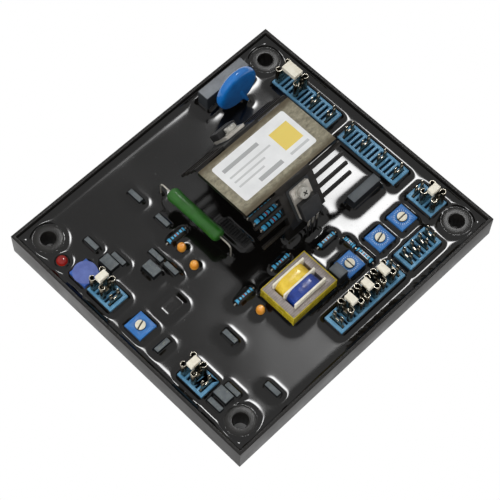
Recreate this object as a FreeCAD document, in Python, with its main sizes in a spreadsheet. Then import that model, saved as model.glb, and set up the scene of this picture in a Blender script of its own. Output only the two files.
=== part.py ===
import FreeCAD, Part
import Sketcher
import math
import os
import re

# Automatic voltage regulator: a potted board in a shallow moulded tray.
# Origin: middle of the tray's underside. +Z is up, +X and +Y run along the tray.
# All lengths are millimetres.

doc = FreeCAD.newDocument("regulator")
sheet = doc.addObject("Spreadsheet::Sheet", "dims")
names = []
nodes = []
resin_cuts = []
lead_flats = 8


# Driving dimensions

def dim(name, value):
    """Write one named size into the sheet."""
    names.append(name)
    row = len(names)
    sheet.set(f"A{row}", name)
    sheet.set(f"B{row}", str(value))
    sheet.setAlias(f"B{row}", name)


def size(name):
    """The present value of a named size."""
    return float(sheet.get(name))


def ex(text):
    """Turn the names in an expression into references to the sheet."""
    return re.sub(r"[a-z][a-z_0-9]+", lambda m: "dims." + m.group(0) if m.group(0) in names else m.group(0), text)


# Tray and board
dim("hole_pitch_x", 128)
dim("hole_pitch_y", 113.4)
dim("edge_x", 11)
dim("edge_y", 10.8)
dim("tray_height", 12.9)
dim("tray_wall", 1.6)
dim("tray_floor", 2.0)
dim("hole_bore", 6.5)
dim("boss_diameter", 13.2)
dim("boss_height", 10.9)
dim("boss_chamfer", 1.5)
dim("bore_chamfer", 0.5)
dim("shoulder_diameter", 16)
dim("board_lift", 3.5)
dim("board_thickness", 1.6)
dim("board_inset", 4.0)
dim("resin_level", 10.0)
dim("fit_gap", 0.08)

# Heatsink
dim("sink_length", 51.7)
dim("sink_x", 16.45)
dim("sink_y", 9.35)
dim("sink_top", 41)
dim("sink_plate", 2.4)
dim("sink_half_plate", 13.95)
dim("sink_half_shoulder", 15.85)
dim("sink_slope", 29.5)
dim("sink_wall", 2.4)
dim("sink_knee", 24.0)
dim("sink_foot_inset", 1.6)
dim("sink_round", 3.0)
dim("pad_left", 15.5)
dim("pad_right", 16.8)
dim("bar_first", 0.95)
dim("bar_first_width", 1.9)
dim("bar_pitch", 5.3)
dim("bar_width", 1.45)
dim("bar_depth", 1.2)
dim("bar_root", 0.6)
dim("label_length", 41.0)
dim("label_width", 20.4)
dim("label_thickness", 0.15)
dim("label_round", 1.2)
dim("label_shift", 0.9)

# Power devices on the heatsink's two slanted pads
dim("device_x", 16.1)
dim("device_width", 10.0)
dim("device_tab_top", 2.4)
dim("device_tab_length", 15.2)
dim("device_tab_thickness", 1.3)
dim("device_body_length", 8.6)
dim("device_body_thickness", 4.4)
dim("device_hole_down", 3.0)
dim("tab_chamfer", 0.6)
dim("insulator_width", 12.4)
dim("insulator_length", 16.6)
dim("insulator_thickness", 0.3)
dim("insulator_margin", 0.7)
dim("leg_width", 0.9)
dim("leg_thickness", 0.5)
dim("leg_pitch", 2.54)
dim("leg_reach", 1.6)
dim("screw_diameter", 3.0)
dim("screw_head", 5.4)
dim("screw_head_height", 2.1)
dim("screw_beyond", 1.5)
dim("washer_diameter", 6.8)
dim("washer_thickness", 0.5)

# Terminal blocks, blades and push-on links
dim("block_width", 9.8)
dim("block_top", 13.0)
dim("slot_pitch", 2.375)
dim("slot_width", 1.3)
dim("slot_length", 7.3)
dim("slot_depth", 2.6)
dim("block_end", 2.3)
dim("blade_width", 7.0)
dim("blade_leaf", 0.4)
dim("blade_height", 7.0)
dim("blade_shoulder", 0.3)
dim("blade_crotch", 2.5)
dim("prong_width", 1.85)
dim("prong_gap", 1.9)
dim("prong_nose", 0.5)
dim("front_leaf_drop", 2.1)
dim("contact_sheet", 0.35)
dim("contact_curl", 1.35)
dim("contact_height", 8.9)
dim("contact_lift", 0.6)
dim("contact_wrap", 255)
dim("contact_play", 0.05)
dim("sleeve_width", 5.0)
dim("sleeve_height", 2.4)
dim("strap_width", 2.4)
dim("strap_rise", 1.45)

# Trimmers
dim("trimmer_side", 9.3)
dim("trimmer_top", 12.4)
dim("rotor_diameter", 4.3)
dim("rotor_proud", 0.9)
dim("rotor_neck", 1.2)
dim("rotor_flange", 6.0)
dim("rotor_flange_height", 1.0)
dim("rotor_slot", 0.7)
dim("rotor_slot_depth", 0.6)
dim("seal_diameter", 10.6)
dim("seal_thickness", 0.12)
dim("sealed_top", 13.2)
dim("sealed_gap", 1.3)

# Capacitors, resistors, varistor and lamp
dim("small_cap_length", 7.3)
dim("small_cap_width", 2.45)
dim("small_cap_top", 13.0)
dim("medium_cap_length", 7.3)
dim("medium_cap_width", 4.9)
dim("medium_cap_top", 14.5)
dim("covered_cap_length", 9.0)
dim("covered_cap_width", 6.2)
dim("covered_cap_top", 11.2)
dim("large_cap_length", 25.7)
dim("large_cap_width", 6.0)
dim("large_cap_top", 20.5)
dim("long_cap_length", 16.4)
dim("long_cap_width", 4.4)
dim("long_cap_top", 17.3)
dim("square_cap_length", 5.0)
dim("square_cap_width", 6.5)
dim("square_cap_top", 18.5)
dim("film_resistor_length", 9.2)
dim("film_resistor_diameter", 2.7)
dim("film_resistor_waist", 2.3)
dim("film_resistor_cap", 2.0)
dim("film_resistor_lift", 11.4)
dim("film_lead_reach", 0.9)
dim("lead_diameter", 0.7)
dim("power_resistor_length", 29.4)
dim("power_resistor_diameter", 6.6)
dim("power_resistor_lift", 19.5)
dim("power_resistor_chamfer", 1.1)
dim("power_lead_diameter", 0.8)
dim("power_lead_reach", 6.2)
dim("power_lead_bend", 2.4)
dim("bead_diameter", 3.9)
dim("bead_height", 4.4)
dim("bead_bottom", 10.7)
dim("bead_chamfer", 1.2)
dim("bead_pitch", 2.54)
dim("varistor_diameter", 21.8)
dim("varistor_thickness", 4.6)
dim("varistor_lift", 23.6)
dim("varistor_chamfer", 1.3)
dim("ridge_radius", 1.3)
dim("ridge_tip", 0.7)
dim("ridge_aside", 4.9)
dim("ridge_out", 1.9)
dim("ridge_drop", 12.0)
dim("lamp_diameter", 5.0)
dim("lamp_collar", 5.8)
dim("lamp_collar_height", 1.0)
dim("lamp_top", 13.2)
dim("lamp_chamfer", 1.3)
dim("network_length", 16.0)
dim("network_width", 4.6)
dim("network_top", 12.2)
dim("network_rib", 1.4)
dim("network_rib_height", 0.6)

# Transformer
dim("core_length", 24.6)
dim("core_width", 18.2)
dim("core_top", 18.0)
dim("core_stack", 9.4)
dim("core_frame_x", 3.4)
dim("core_frame_y", 2.3)
dim("core_leg", 6.8)
dim("band_thickness", 0.4)
dim("band_depth", 8.6)
dim("band_proud", 0.2)
dim("flange_thickness", 0.9)
dim("flange_top", 21.2)
dim("coil_inset", 0.9)
dim("coil_round", 5.0)
dim("coil_proud", 0.1)
dim("coil_lift", 0.4)
dim("bobbin_wall", 0.9)

doc.recompute()

# Lengths that follow from the driving ones
tray_length = "(hole_pitch_x + 2 * edge_x)"
tray_width = "(hole_pitch_y + 2 * edge_y)"
board_top = "(board_lift + board_thickness)"
blade_half = "(prong_gap / 2 + prong_width)"

# The places on the board are given for these pitches and spread with them
layout_pitch_x = 128
layout_pitch_y = 113.4


# Builders of document objects

def bind(thing, **sizes):
    """Bind properties of an object to expressions over the sheet."""
    for prop, text in sizes.items():
        thing.setExpression(prop.replace("_", "."), ex(text))


def move(thing, x, y, z):
    """Bind the place of an object to expressions."""
    bind(thing, Placement_Base_x=x, Placement_Base_y=y, Placement_Base_z=z)


def box(name, length, width, height, x, y, z, turn=0):
    """A box centred on x, y that stands on z."""
    thing = doc.addObject("Part::Box", name)
    bind(thing, Length=length, Width=width, Height=height)
    if turn == 90:
        thing.Placement = FreeCAD.Placement(FreeCAD.Vector(), FreeCAD.Rotation(FreeCAD.Vector(0, 0, 1), 90))
        move(thing, f"{x} + ({width}) / 2", f"{y} - ({length}) / 2", z)
    else:
        move(thing, f"{x} - ({length}) / 2", f"{y} - ({width}) / 2", z)
    return thing


def rod(name, radius, height, x, y, z, axis="z"):
    """A cylinder from x, y, z along an axis."""
    thing = doc.addObject("Part::Cylinder", name)
    bind(thing, Radius=radius, Height=height)
    turns = {"x": (FreeCAD.Vector(0, 1, 0), 90), "y": (FreeCAD.Vector(1, 0, 0), -90)}
    if axis in turns:
        thing.Placement = FreeCAD.Placement(FreeCAD.Vector(), FreeCAD.Rotation(*turns[axis]))
    move(thing, x, y, z)
    return thing


def cut(name, base, tool):
    """One object less another."""
    thing = doc.addObject("Part::Cut", name)
    thing.Base = base
    thing.Tool = tool
    return thing


def fuse(name, parts):
    """Several objects as one solid."""
    thing = doc.addObject("Part::MultiFuse", name)
    thing.Shapes = parts
    return thing


def group(name, parts):
    """Several separate solids as one object."""
    thing = doc.addObject("Part::Compound", name)
    thing.Links = parts
    return thing


def wire(name, diameter, height, x, y, z, axis="z"):
    """A thin lead from x, y, z along an axis, drawn with eight flats."""
    thing = doc.addObject("Part::Prism", name)
    thing.Polygon = lead_flats
    bind(thing, Circumradius=f"{diameter} / 2", Height=height)
    turns = {"x": (FreeCAD.Vector(0, 1, 0), 90), "y": (FreeCAD.Vector(1, 0, 0), -90)}
    if axis in turns:
        thing.Placement = FreeCAD.Placement(FreeCAD.Vector(), FreeCAD.Rotation(*turns[axis]))
    move(thing, x, y, z)
    return thing


def rounded(name, base, picks, radius, kind="Part::Fillet"):
    """Round the edges that picks chooses."""
    doc.recompute()
    chosen = [(i + 1, size(radius), size(radius)) for i, edge in enumerate(base.Shape.Edges) if picks(edge)]
    thing = doc.addObject(kind, name)
    thing.Base = base
    thing.Edges = chosen
    return thing


def bevelled(name, base, picks, depth):
    """Bevel the edges that picks chooses."""
    return rounded(name, base, picks, depth, "Part::Chamfer")


def lies_across(axis, above=None):
    """A test for edges that lie in a plane across an axis, above a height where one is given."""
    def test(edge):
        reach = edge.BoundBox
        flat = getattr(reach, axis.upper() + "Length") < 0.01
        return flat and (above is None or reach.ZMin > above)
    return test


def runs_along(axis):
    """A test that says whether an edge runs along an axis."""
    def test(edge):
        start, end = edge.Vertexes[0].Point, edge.Vertexes[-1].Point
        gap = end - start
        return abs(getattr(gap, axis)) > 0.99 * gap.Length > 0
    return test


def node(name, thing):
    """Give an object the name of its node and keep it for writing."""
    thing.Label = name
    nodes.append(thing)
    return thing


def on_board(x, y):
    """A place on the board, which spreads with the mounting holes."""
    return f"({x}) * hole_pitch_x / {layout_pitch_x}", f"({y}) * hole_pitch_y / {layout_pitch_y}"


def plane_of(body, role):
    """An origin plane of a body."""
    return next(f for f in body.Origin.OriginFeatures if f.Role == role)


def sketch_on(body, role, lift="0"):
    """A sketch on an origin plane of a body, lifted along the plane's normal."""
    sketch = body.newObject("Sketcher::SketchObject", "profile")
    sketch.AttachmentSupport = [(plane_of(body, role), "")]
    sketch.MapMode = "FlatFace"
    sketch.setExpression("AttachmentOffset.Base.z", ex(lift))
    return sketch


def outline(sketch, points):
    """A closed run of lines whose corners are bound to expressions."""
    count = len(points)
    base = len(sketch.Geometry)
    ring = [FreeCAD.Vector(10 * math.cos(6.283 * i / count) + 3, 10 * math.sin(6.283 * i / count) + 3, 0)
            for i in range(count)]
    for i in range(count):
        sketch.addGeometry(Part.LineSegment(ring[i], ring[(i + 1) % count]))
    for i in range(count):
        sketch.addConstraint(Sketcher.Constraint("Coincident", base + i, 2, base + (i + 1) % count, 1))
    for i, (x, y) in enumerate(points):
        for kind, text, first in (("DistanceX", x, ring[i].x), ("DistanceY", y, ring[i].y)):
            index = sketch.addConstraint(Sketcher.Constraint(kind, -1, 1, base + i, 1, first))
            sketch.setExpression(f"Constraints[{index}]", ex(text))


def rectangle(sketch, x0, y0, x1, y1):
    """A rectangle between two corners."""
    outline(sketch, [(x0, y0), (x1, y0), (x1, y1), (x0, y1)])


def round_hole(sketch, x, y, radius):
    """A circle whose centre and radius are bound to expressions."""
    index = sketch.addGeometry(Part.Circle(FreeCAD.Vector(3, 3, 0), FreeCAD.Vector(0, 0, 1), 2))
    for kind, text in (("DistanceX", x), ("DistanceY", y)):
        number = sketch.addConstraint(Sketcher.Constraint(kind, -1, 1, index, 3, 3))
        sketch.setExpression(f"Constraints[{number}]", ex(text))
    number = sketch.addConstraint(Sketcher.Constraint("Radius", index, 2))
    sketch.setExpression(f"Constraints[{number}]", ex(radius))


def pad(body, sketch, length, middle=False):
    """Raise a sketch into a solid."""
    feature = body.newObject("PartDesign::Pad", "pad")
    feature.Profile = sketch
    feature.Midplane = middle
    feature.setExpression("Length", ex(length))
    return feature


def pocket(body, sketch, length, reverse=False, middle=False):
    """Sink a sketch into a solid."""
    feature = body.newObject("PartDesign::Pocket", "pocket")
    feature.Profile = sketch
    feature.Reversed = reverse
    feature.Midplane = middle
    feature.setExpression("Length", ex(length))
    return feature


# Tray: a shallow moulded box with a hollow boss in each corner

def make_tray():
    body = doc.addObject("PartDesign::Body", "tray")
    base = sketch_on(body, "XY_Plane")
    rectangle(base, f"-{tray_length} / 2", f"-{tray_width} / 2", f"{tray_length} / 2", f"{tray_width} / 2")
    pad(body, base, "tray_height")
    well = sketch_on(body, "XY_Plane", "tray_height")
    rectangle(well, f"-{tray_length} / 2 + tray_wall", f"-{tray_width} / 2 + tray_wall",
              f"{tray_length} / 2 - tray_wall", f"{tray_width} / 2 - tray_wall")
    pocket(body, well, "tray_height - tray_floor")
    corners = [(i, j) for i in (-1, 1) for j in (-1, 1)]
    for lift, radius, height in (("tray_floor", "shoulder_diameter / 2", "board_lift - tray_floor"),
                                 ("board_lift", "boss_diameter / 2", "boss_height - board_lift")):
        rings = sketch_on(body, "XY_Plane", lift)
        for i, j in corners:
            round_hole(rings, f"{i} * hole_pitch_x / 2", f"{j} * hole_pitch_y / 2", radius)
        pad(body, rings, height)
    bores = sketch_on(body, "XY_Plane", "boss_height")
    for i, j in corners:
        round_hole(bores, f"{i} * hole_pitch_x / 2", f"{j} * hole_pitch_y / 2", "hole_bore / 2")
    last = pocket(body, bores, "boss_height + 1")
    for rim, depth in (("boss_diameter", "boss_chamfer"), ("hole_bore", "bore_chamfer")):
        doc.recompute()
        rims = [f"Edge{n + 1}" for n, edge in enumerate(last.Shape.Edges)
                if abs(edge.BoundBox.ZMin - size("boss_height")) < 0.01 and edge.BoundBox.ZLength < 0.01
                and abs(edge.BoundBox.XLength - size(rim)) < 0.01]
        bevel = body.newObject("PartDesign::Chamfer", "bevel")
        bevel.Base = (last, rims)
        bevel.setExpression("Size", ex(depth))
        last = bevel
    return node("tray", body)


# Circuit board, pierced where the bosses pass

def make_board():
    body = doc.addObject("PartDesign::Body", "board")
    plate = sketch_on(body, "XY_Plane", "board_lift")
    half_x, half_y = f"({tray_length} / 2 - board_inset)", f"({tray_width} / 2 - board_inset)"
    rectangle(plate, f"-{half_x}", f"-{half_y}", half_x, half_y)
    for i in (-1, 1):
        for j in (-1, 1):
            round_hole(plate, f"{i} * hole_pitch_x / 2", f"{j} * hole_pitch_y / 2", "boss_diameter / 2 + fit_gap")
    pad(body, plate, "board_thickness")
    resin_cuts.append(body)
    return node("circuit_board", body)


# Heatsink: one folded section with slanted sides, milled into a flat plate and free bars beside its two pads

def make_heatsink():
    body = doc.addObject("PartDesign::Body", "folded_sink")
    left = "(sink_x - sink_length / 2)"
    pad_start = f"({left} + pad_left)"
    pad_end = f"({left} + sink_length - pad_right)"
    tan, cos, sin = "tan(sink_slope * 1deg)", "cos(sink_slope * 1deg)", "sin(sink_slope * 1deg)"
    knee = f"(sink_half_shoulder + (sink_top - sink_knee) * {tan})"
    skin = f"(sink_wall / {cos})"
    foot = f"({knee} - sink_foot_inset)"
    right = [("sink_half_shoulder", "sink_top"),
             (knee, "sink_knee"),
             (foot, "sink_knee - sink_foot_inset"),
             (foot, board_top),
             (f"({foot} - sink_wall)", board_top),
             (f"({foot} - sink_wall)", "sink_knee"),
             (f"(sink_half_shoulder + sink_plate * {tan} - {skin})", "sink_top - sink_plate")]
    section = sketch_on(body, "YZ_Plane", pad_start)
    outline(section, [(f"sink_y + {y}", z) for y, z in right] + [(f"sink_y - {y}", z) for y, z in reversed(right)])
    fold = pad(body, section, f"{pad_end} - {pad_start}")
    doc.recompute()
    bends = [f"Edge{n + 1}" for n, edge in enumerate(fold.Shape.Edges)
             if edge.BoundBox.ZMin > size("sink_top") - 0.01 and edge.BoundBox.YLength < 0.01]
    shoulders = body.newObject("PartDesign::Fillet", "shoulders")
    shoulders.Base = (fold, bends)
    shoulders.setExpression("Radius", ex("sink_round"))

    plate = sketch_on(body, "YZ_Plane", left)
    rectangle(plate, "sink_y - sink_half_plate", "sink_top - sink_plate", "sink_y + sink_half_plate", "sink_top")
    pad(body, plate, "sink_length")
    for start, run in ((left, "pad_left + bar_root"), (f"{pad_end} - bar_root", "pad_right + bar_root")):
        bars = sketch_on(body, "YZ_Plane", start)
        for side in (-1, 1):
            for k in range(4):
                middle = f"(bar_first + {k} * bar_pitch)"
                half = "(bar_first_width / 2)" if k == 0 else "(bar_width / 2)"
                corners = [(f"({middle} {sign} {half})", depth)
                           for sign, depth in (("-", "0"), ("+", "0"), ("+", "bar_depth"), ("-", "bar_depth"))]
                outline(bars, [(f"sink_y + {side} * (sink_half_shoulder + {down} * {sin} - {depth} * {cos})",
                                f"sink_top - {down} * {cos} - {depth} * {sin}") for down, depth in corners])
        pad(body, bars, run)
    feet = [box("foot_socket", f"{pad_end} - {pad_start}", "sink_wall", f"resin_level - {board_top}",
                f"({pad_start} + {pad_end}) / 2", f"sink_y + {side} * ({foot} - sink_wall / 2)", board_top)
            for side in (-1, 1)]
    resin_cuts.extend(feet)
    hole_at = "device_tab_top + device_hole_down"
    holes = [pad_rod("tapped_hole", side, "screw_diameter / 2 + fit_gap", "2 * sink_wall", hole_at, "-1.5 * sink_wall")
             for side in (-1, 1)]
    return node("heatsink", cut("heatsink_tapped", body, fuse("tapped_holes", holes)))


def make_label():
    plate = box("label_plate", "label_length", "label_width", "label_thickness",
                "sink_x - label_shift", "sink_y + label_shift", "sink_top")
    return node("label", rounded("label_rounded", plate, runs_along("z"), "label_round"))


# Power devices: insulator, lead frame, moulded body, screw and washer on each slanted pad

def on_pad(thing, side, across, down, out):
    """Lay an object on a slanted pad: across it, down its slope and out from its face."""
    tilt = FreeCAD.Rotation(FreeCAD.Vector(1, 0, 0), size("sink_slope") - 90)
    turn = FreeCAD.Rotation(FreeCAD.Vector(0, 0, 1), 0 if side > 0 else 180)
    thing.Placement = FreeCAD.Placement(FreeCAD.Vector(), turn.multiply(tilt))
    slope = "(sink_slope * 1deg)"
    move(thing, f"device_x + {side} * ({across})",
         f"sink_y + {side} * (sink_half_shoulder + ({down}) * sin({slope}) + ({out}) * cos({slope}))",
         f"sink_top - ({down}) * cos({slope}) + ({out}) * sin({slope})")
    return thing


def pad_box(name, side, width, length, thickness, across, down, out):
    """A flat box on a slanted pad, centred across."""
    thing = doc.addObject("Part::Box", name)
    bind(thing, Length=width, Width=length, Height=thickness)
    return on_pad(thing, side, f"({across}) - ({width}) / 2", down, out)


def pad_rod(name, side, radius, height, down, out):
    """A cylinder that stands out from a slanted pad."""
    thing = doc.addObject("Part::Cylinder", name)
    bind(thing, Radius=radius, Height=height)
    return on_pad(thing, side, "0", down, out)


def is_short(edge):
    """A test for the corner edges of a thin plate."""
    return edge.Length < 2 * size("device_tab_thickness")


def make_device(label, side):
    hole_at = "device_tab_top + device_hole_down"
    sheet_piece = pad_box("sheet", side, "insulator_width", "insulator_length", "insulator_thickness",
                          "0", "device_tab_top - insulator_margin", "0")
    sheet_piece = rounded("sheet_rounded", sheet_piece, is_short, "insulator_margin")
    node(f"{label}_insulator", cut("insulator", sheet_piece,
         pad_rod("bore", side, "screw_diameter / 2 + fit_gap", "insulator_thickness", hole_at, "0")))
    tab = pad_box("tab", side, "device_width", "device_tab_length", "device_tab_thickness",
                  "0", "device_tab_top", "insulator_thickness")
    tab = bevelled("tab_bevelled", tab, is_short, "tab_chamfer")
    tab = cut("tab_bored", tab, pad_rod("bore", side, "screw_diameter / 2 + fit_gap",
                                        "device_tab_thickness", hole_at, "insulator_thickness"))
    body_down = "device_tab_top + device_tab_length - device_body_length"
    body = pad_box("body", side, "device_width", "device_body_length", "device_body_thickness",
                   "0", body_down, "insulator_thickness")
    seat = pad_box("seat", side, "device_width", "device_body_length", "device_tab_thickness",
                   "0", body_down, "insulator_thickness")
    node(f"{label}_device_body", cut("device_body", body, seat))
    leg_out = "insulator_thickness + device_body_thickness / 2"
    leg_down = "device_tab_top + device_tab_length"
    legs = []
    slope = "(sink_slope * 1deg)"
    for k in (-1, 0, 1):
        run = pad_box("leg_run", side, "leg_width", "leg_reach", "leg_thickness", f"{k} * leg_pitch", leg_down, leg_out)
        drop_y = f"sink_y + {side} * (sink_half_shoulder + ({leg_down} + leg_reach) * sin({slope}) " \
                 f"+ ({leg_out}) * cos({slope}))"
        drop_top = f"sink_top - ({leg_down} + leg_reach) * cos({slope}) + ({leg_out} + leg_thickness) * sin({slope})"
        drop = box("leg_drop", "leg_width", "leg_thickness", f"{drop_top} - {board_top}",
                   f"device_x + {side} * {k} * leg_pitch", drop_y, board_top)
        legs.append(fuse("leg", [run, drop]))
    resin_cuts.extend(legs)
    node(f"{label}_device_leads", group("device_leads", [tab] + legs))
    washer_out = "insulator_thickness + device_tab_thickness"
    washer = cut("washer", pad_rod("disc", side, "washer_diameter / 2", "washer_thickness", hole_at, washer_out),
                 pad_rod("bore", side, "screw_diameter / 2 + fit_gap", "washer_thickness", hole_at, washer_out))
    head = pad_rod("head", side, "screw_head / 2", "screw_head_height", hole_at, f"{washer_out} + washer_thickness")
    shank = pad_rod("shank", side, "screw_diameter / 2",
                    f"{washer_out} + washer_thickness + sink_wall + screw_beyond", hole_at,
                    "-sink_wall - screw_beyond")
    screw = fuse("screw", [head, shank])
    return screw, washer


# Terminal blocks: a moulded comb of slots with a blade in every slot, or in every second one

def make_block_body(label, x, y, turn, slots):
    body = doc.addObject("PartDesign::Body", "block")
    length = f"({slots - 1} * slot_pitch + 2 * block_end)"
    base = sketch_on(body, "XY_Plane")
    rectangle(base, f"-{length} / 2", "-block_width / 2", f"{length} / 2", "block_width / 2")
    pad(body, base, f"block_top - {board_top}")
    first = sketch_on(body, "XY_Plane", f"block_top - {board_top}")
    start = f"-{slots - 1} * slot_pitch / 2"
    rectangle(first, f"{start} - slot_width / 2", "-slot_length / 2", f"{start} + slot_width / 2", "slot_length / 2")
    slot = pocket(body, first, "slot_depth")
    row = body.newObject("PartDesign::LinearPattern", "row")
    row.Originals = [slot]
    row.Direction = (base, ["H_Axis"])
    row.Occurrences = int(slots)
    row.setExpression("Length", ex(f"{slots - 1} * slot_pitch"))
    body.Tip = row
    place = on_board(x, y)
    body.Placement = FreeCAD.Placement(FreeCAD.Vector(), FreeCAD.Rotation(FreeCAD.Vector(0, 0, 1), turn))
    move(body, place[0], place[1], board_top)
    size_x, size_y = (length, "block_width") if turn == 0 else ("block_width", length)
    resin_cuts.append(box("block_socket", size_x, size_y, f"resin_level - {board_top}", place[0], place[1], board_top))
    return node(label, body)


def make_blade():
    """One blade: a tall forked leaf with a lower forked leaf folded against it."""
    body = doc.addObject("PartDesign::Body", "blade")
    foot = "-slot_depth"

    def leaf(top):
        tip = f"({top})"
        side = [("blade_width / 2", foot), ("blade_width / 2", "blade_shoulder"),
                (blade_half, f"blade_shoulder + blade_width / 2 - {blade_half}"),
                (blade_half, f"{tip} - prong_nose"), (f"{blade_half} - prong_nose", tip),
                ("prong_gap / 2 + prong_nose", tip), ("prong_gap / 2", f"{tip} - prong_nose"),
                ("prong_gap / 2", "blade_crotch")]
        mirrored = [(f"-({u})", w) for u, w in reversed(side)]
        return side + mirrored

    back = sketch_on(body, "YZ_Plane")
    outline(back, leaf("blade_height"))
    pad(body, back, "blade_leaf")
    front = sketch_on(body, "YZ_Plane", "-blade_leaf")
    outline(front, leaf("blade_height - front_leaf_drop"))
    pad(body, front, "blade_leaf")
    return body


def link_to(master, name, x, y, z, turn):
    """A copy of a master object at a place of its own."""
    copy = doc.addObject("App::Link", name)
    copy.LinkedObject = master
    copy.Placement = FreeCAD.Placement(FreeCAD.Vector(), FreeCAD.Rotation(FreeCAD.Vector(0, 0, 1), turn))
    copy.setExpression("Placement.Base.x", ex(x))
    copy.setExpression("Placement.Base.y", ex(y))
    copy.setExpression("Placement.Base.z", ex(z))
    return copy


def along(x, y, turn, offset):
    """A place on the long axis of a block."""
    place = on_board(x, y)
    if turn == 0:
        return f"{place[0]} + {offset}", place[1]
    return place[0], f"{place[1]} + {offset}"


def make_link_contact(name, step):
    """The metal of a push-on link: two curled receptacles joined by a strap over the top."""
    half = f"({step} * slot_pitch / 2)"
    face = "(blade_leaf + contact_play)"
    floor_at = f"({half} - {face} - contact_sheet)"
    curl_at = f"({half} - {face} - contact_sheet + contact_curl)"
    parts = []
    for side in (-1, 1):
        centre = f"{side} * ({floor_at} + contact_sheet / 2)"
        parts.append(box("floor", "contact_sheet", f"2 * {blade_half}", "contact_height", centre, "0", "0"))
        for hand in (-1, 1):
            outer = doc.addObject("Part::Cylinder", "curl_outer")
            bind(outer, Radius="contact_curl", Height="contact_height")
            wrap = size("contact_wrap")
            bind(outer, Angle="contact_wrap")
            begin = {(1, 1): 180 - wrap, (1, -1): 180, (-1, 1): 0, (-1, -1): -wrap}[(side, hand)]
            outer.Placement = FreeCAD.Placement(FreeCAD.Vector(), FreeCAD.Rotation(FreeCAD.Vector(0, 0, 1), begin))
            move(outer, f"{side} * {curl_at}", f"{hand} * {blade_half}", "0")
            inner = rod("curl_inner", "contact_curl - contact_sheet", "contact_height", f"{side} * {curl_at}",
                        f"{hand} * {blade_half}", "0")
            parts.append(cut("curl", outer, inner))
        parts.append(box("riser", "contact_sheet", "strap_width", "strap_rise", centre, "0", "contact_height"))
    parts.append(box("strap", f"2 * ({floor_at} + contact_sheet)", "strap_width", "contact_sheet", "0", "0",
                     "contact_height + strap_rise"))
    return fuse(name, parts)


def make_link_sleeve(name, step):
    """The moulded sleeve round the strap of a push-on link."""
    half = f"({step} * slot_pitch / 2)"
    length = f"2 * ({half} - blade_leaf - 1.4 * contact_play - contact_sheet)"
    bottom = "contact_height + strap_rise + contact_sheet / 2 - sleeve_height / 2"
    shell = box("sleeve_block", length, "sleeve_width", "sleeve_height", "0", "0", bottom)
    channel = box("sleeve_channel", length, "strap_width", "contact_sheet", "0", "0", "contact_height + strap_rise")
    return cut(name, shell, channel)


# Trimmers: a square body with a captive slotted rotor

def make_trimmer(number, x, y, slot_turn):
    place = on_board(x, y)
    body = box("trimmer_block", "trimmer_side", "trimmer_side", f"trimmer_top - {board_top}", *place, board_top)
    resin_cuts.append(body)
    flange_low = "trimmer_top - rotor_neck - rotor_flange_height"
    bore = rod("trimmer_bore", "rotor_diameter / 2 + fit_gap", "rotor_neck + 1", *place, "trimmer_top - rotor_neck")
    hollow = rod("trimmer_hollow", "rotor_flange / 2 + fit_gap", "rotor_flange_height + 2 * fit_gap", *place,
                 f"{flange_low} - fit_gap")
    node(f"trimmer_{number}_body", cut("trimmer_body", body, fuse("trimmer_inside", [bore, hollow])))
    neck = rod("rotor_neck", "rotor_diameter / 2", "rotor_neck + rotor_proud", *place, "trimmer_top - rotor_neck")
    flange = rod("rotor_flange", "rotor_flange / 2", "rotor_flange_height", *place, flange_low)
    slot = doc.addObject("Part::Box", "rotor_slot")
    bind(slot, Length="rotor_slot", Width="2 * rotor_diameter", Height="rotor_slot_depth + 1")
    angle = math.radians(slot_turn)
    slot.Placement = FreeCAD.Placement(FreeCAD.Vector(), FreeCAD.Rotation(FreeCAD.Vector(0, 0, 1), slot_turn))
    move(slot, f"{place[0]} - {math.cos(angle):.5f} * rotor_slot / 2 + {math.sin(angle):.5f} * rotor_diameter",
         f"{place[1]} - {math.sin(angle):.5f} * rotor_slot / 2 - {math.cos(angle):.5f} * rotor_diameter",
         "trimmer_top + rotor_proud - rotor_slot_depth")
    node(f"trimmer_{number}_rotor", cut("rotor", fuse("rotor_turned", [neck, flange]), slot))


def make_sealed_trimmer(x, block_y, slots):
    """A trimmer that stands beside the end of a block, its rotor covered by a round sticker."""
    across, beside = on_board(x, block_y)
    place = (across, f"{beside} + {slots - 1} * slot_pitch / 2 + block_end + sealed_gap + trimmer_side / 2")
    body = box("sealed_block", "trimmer_side", "trimmer_side", f"sealed_top - {board_top}", *place, board_top)
    resin_cuts.append(body)
    node("sealed_trimmer_body", body)
    node("seal_sticker", rod("sticker", "seal_diameter / 2", "seal_thickness", *place, "sealed_top"))


# Box capacitors

def make_box_capacitors(label, kind, places):
    parts = []
    for x, y, turn in places:
        place = on_board(x, y)
        parts.append(box(kind, f"{kind}_length", f"{kind}_width", f"{kind}_top - {board_top}", *place, board_top, turn))
    resin_cuts.extend(parts)
    return node(label, group(label + "_group", parts) if len(parts) > 1 else parts[0])


# Green power resistor on tall leads

def bent_wire(name, points, radius, bend):
    """A round wire along straight runs joined by bends."""
    path = []
    last = points[0]
    for i in range(1, len(points) - 1):
        before = (points[i] - points[i - 1]).normalize()
        after = (points[i + 1] - points[i]).normalize()
        start = points[i] - before * bend
        end = points[i] + after * bend
        middle = points[i] + (after - before) * (bend * (1 - math.sqrt(0.5)))
        path.append(Part.LineSegment(last, start).toShape())
        path.append(Part.Arc(start, middle, end).toShape())
        last = end
    path.append(Part.LineSegment(last, points[-1]).toShape())
    spine = Part.Wire(path)
    ahead = (points[1] - points[0]).normalize()
    rim = [points[0] + FreeCAD.Rotation(ahead, 360 * i / lead_flats).multVec(FreeCAD.Vector(radius, 0, 0))
           for i in range(lead_flats)]
    ring = Part.makePolygon(rim + [rim[0]])
    thing = doc.addObject("Part::Feature", name)
    thing.Shape = spine.makePipeShell([ring], True, True)
    return thing


# Metal film resistors: a bobbin-shaped body held up by its own leads

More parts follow.
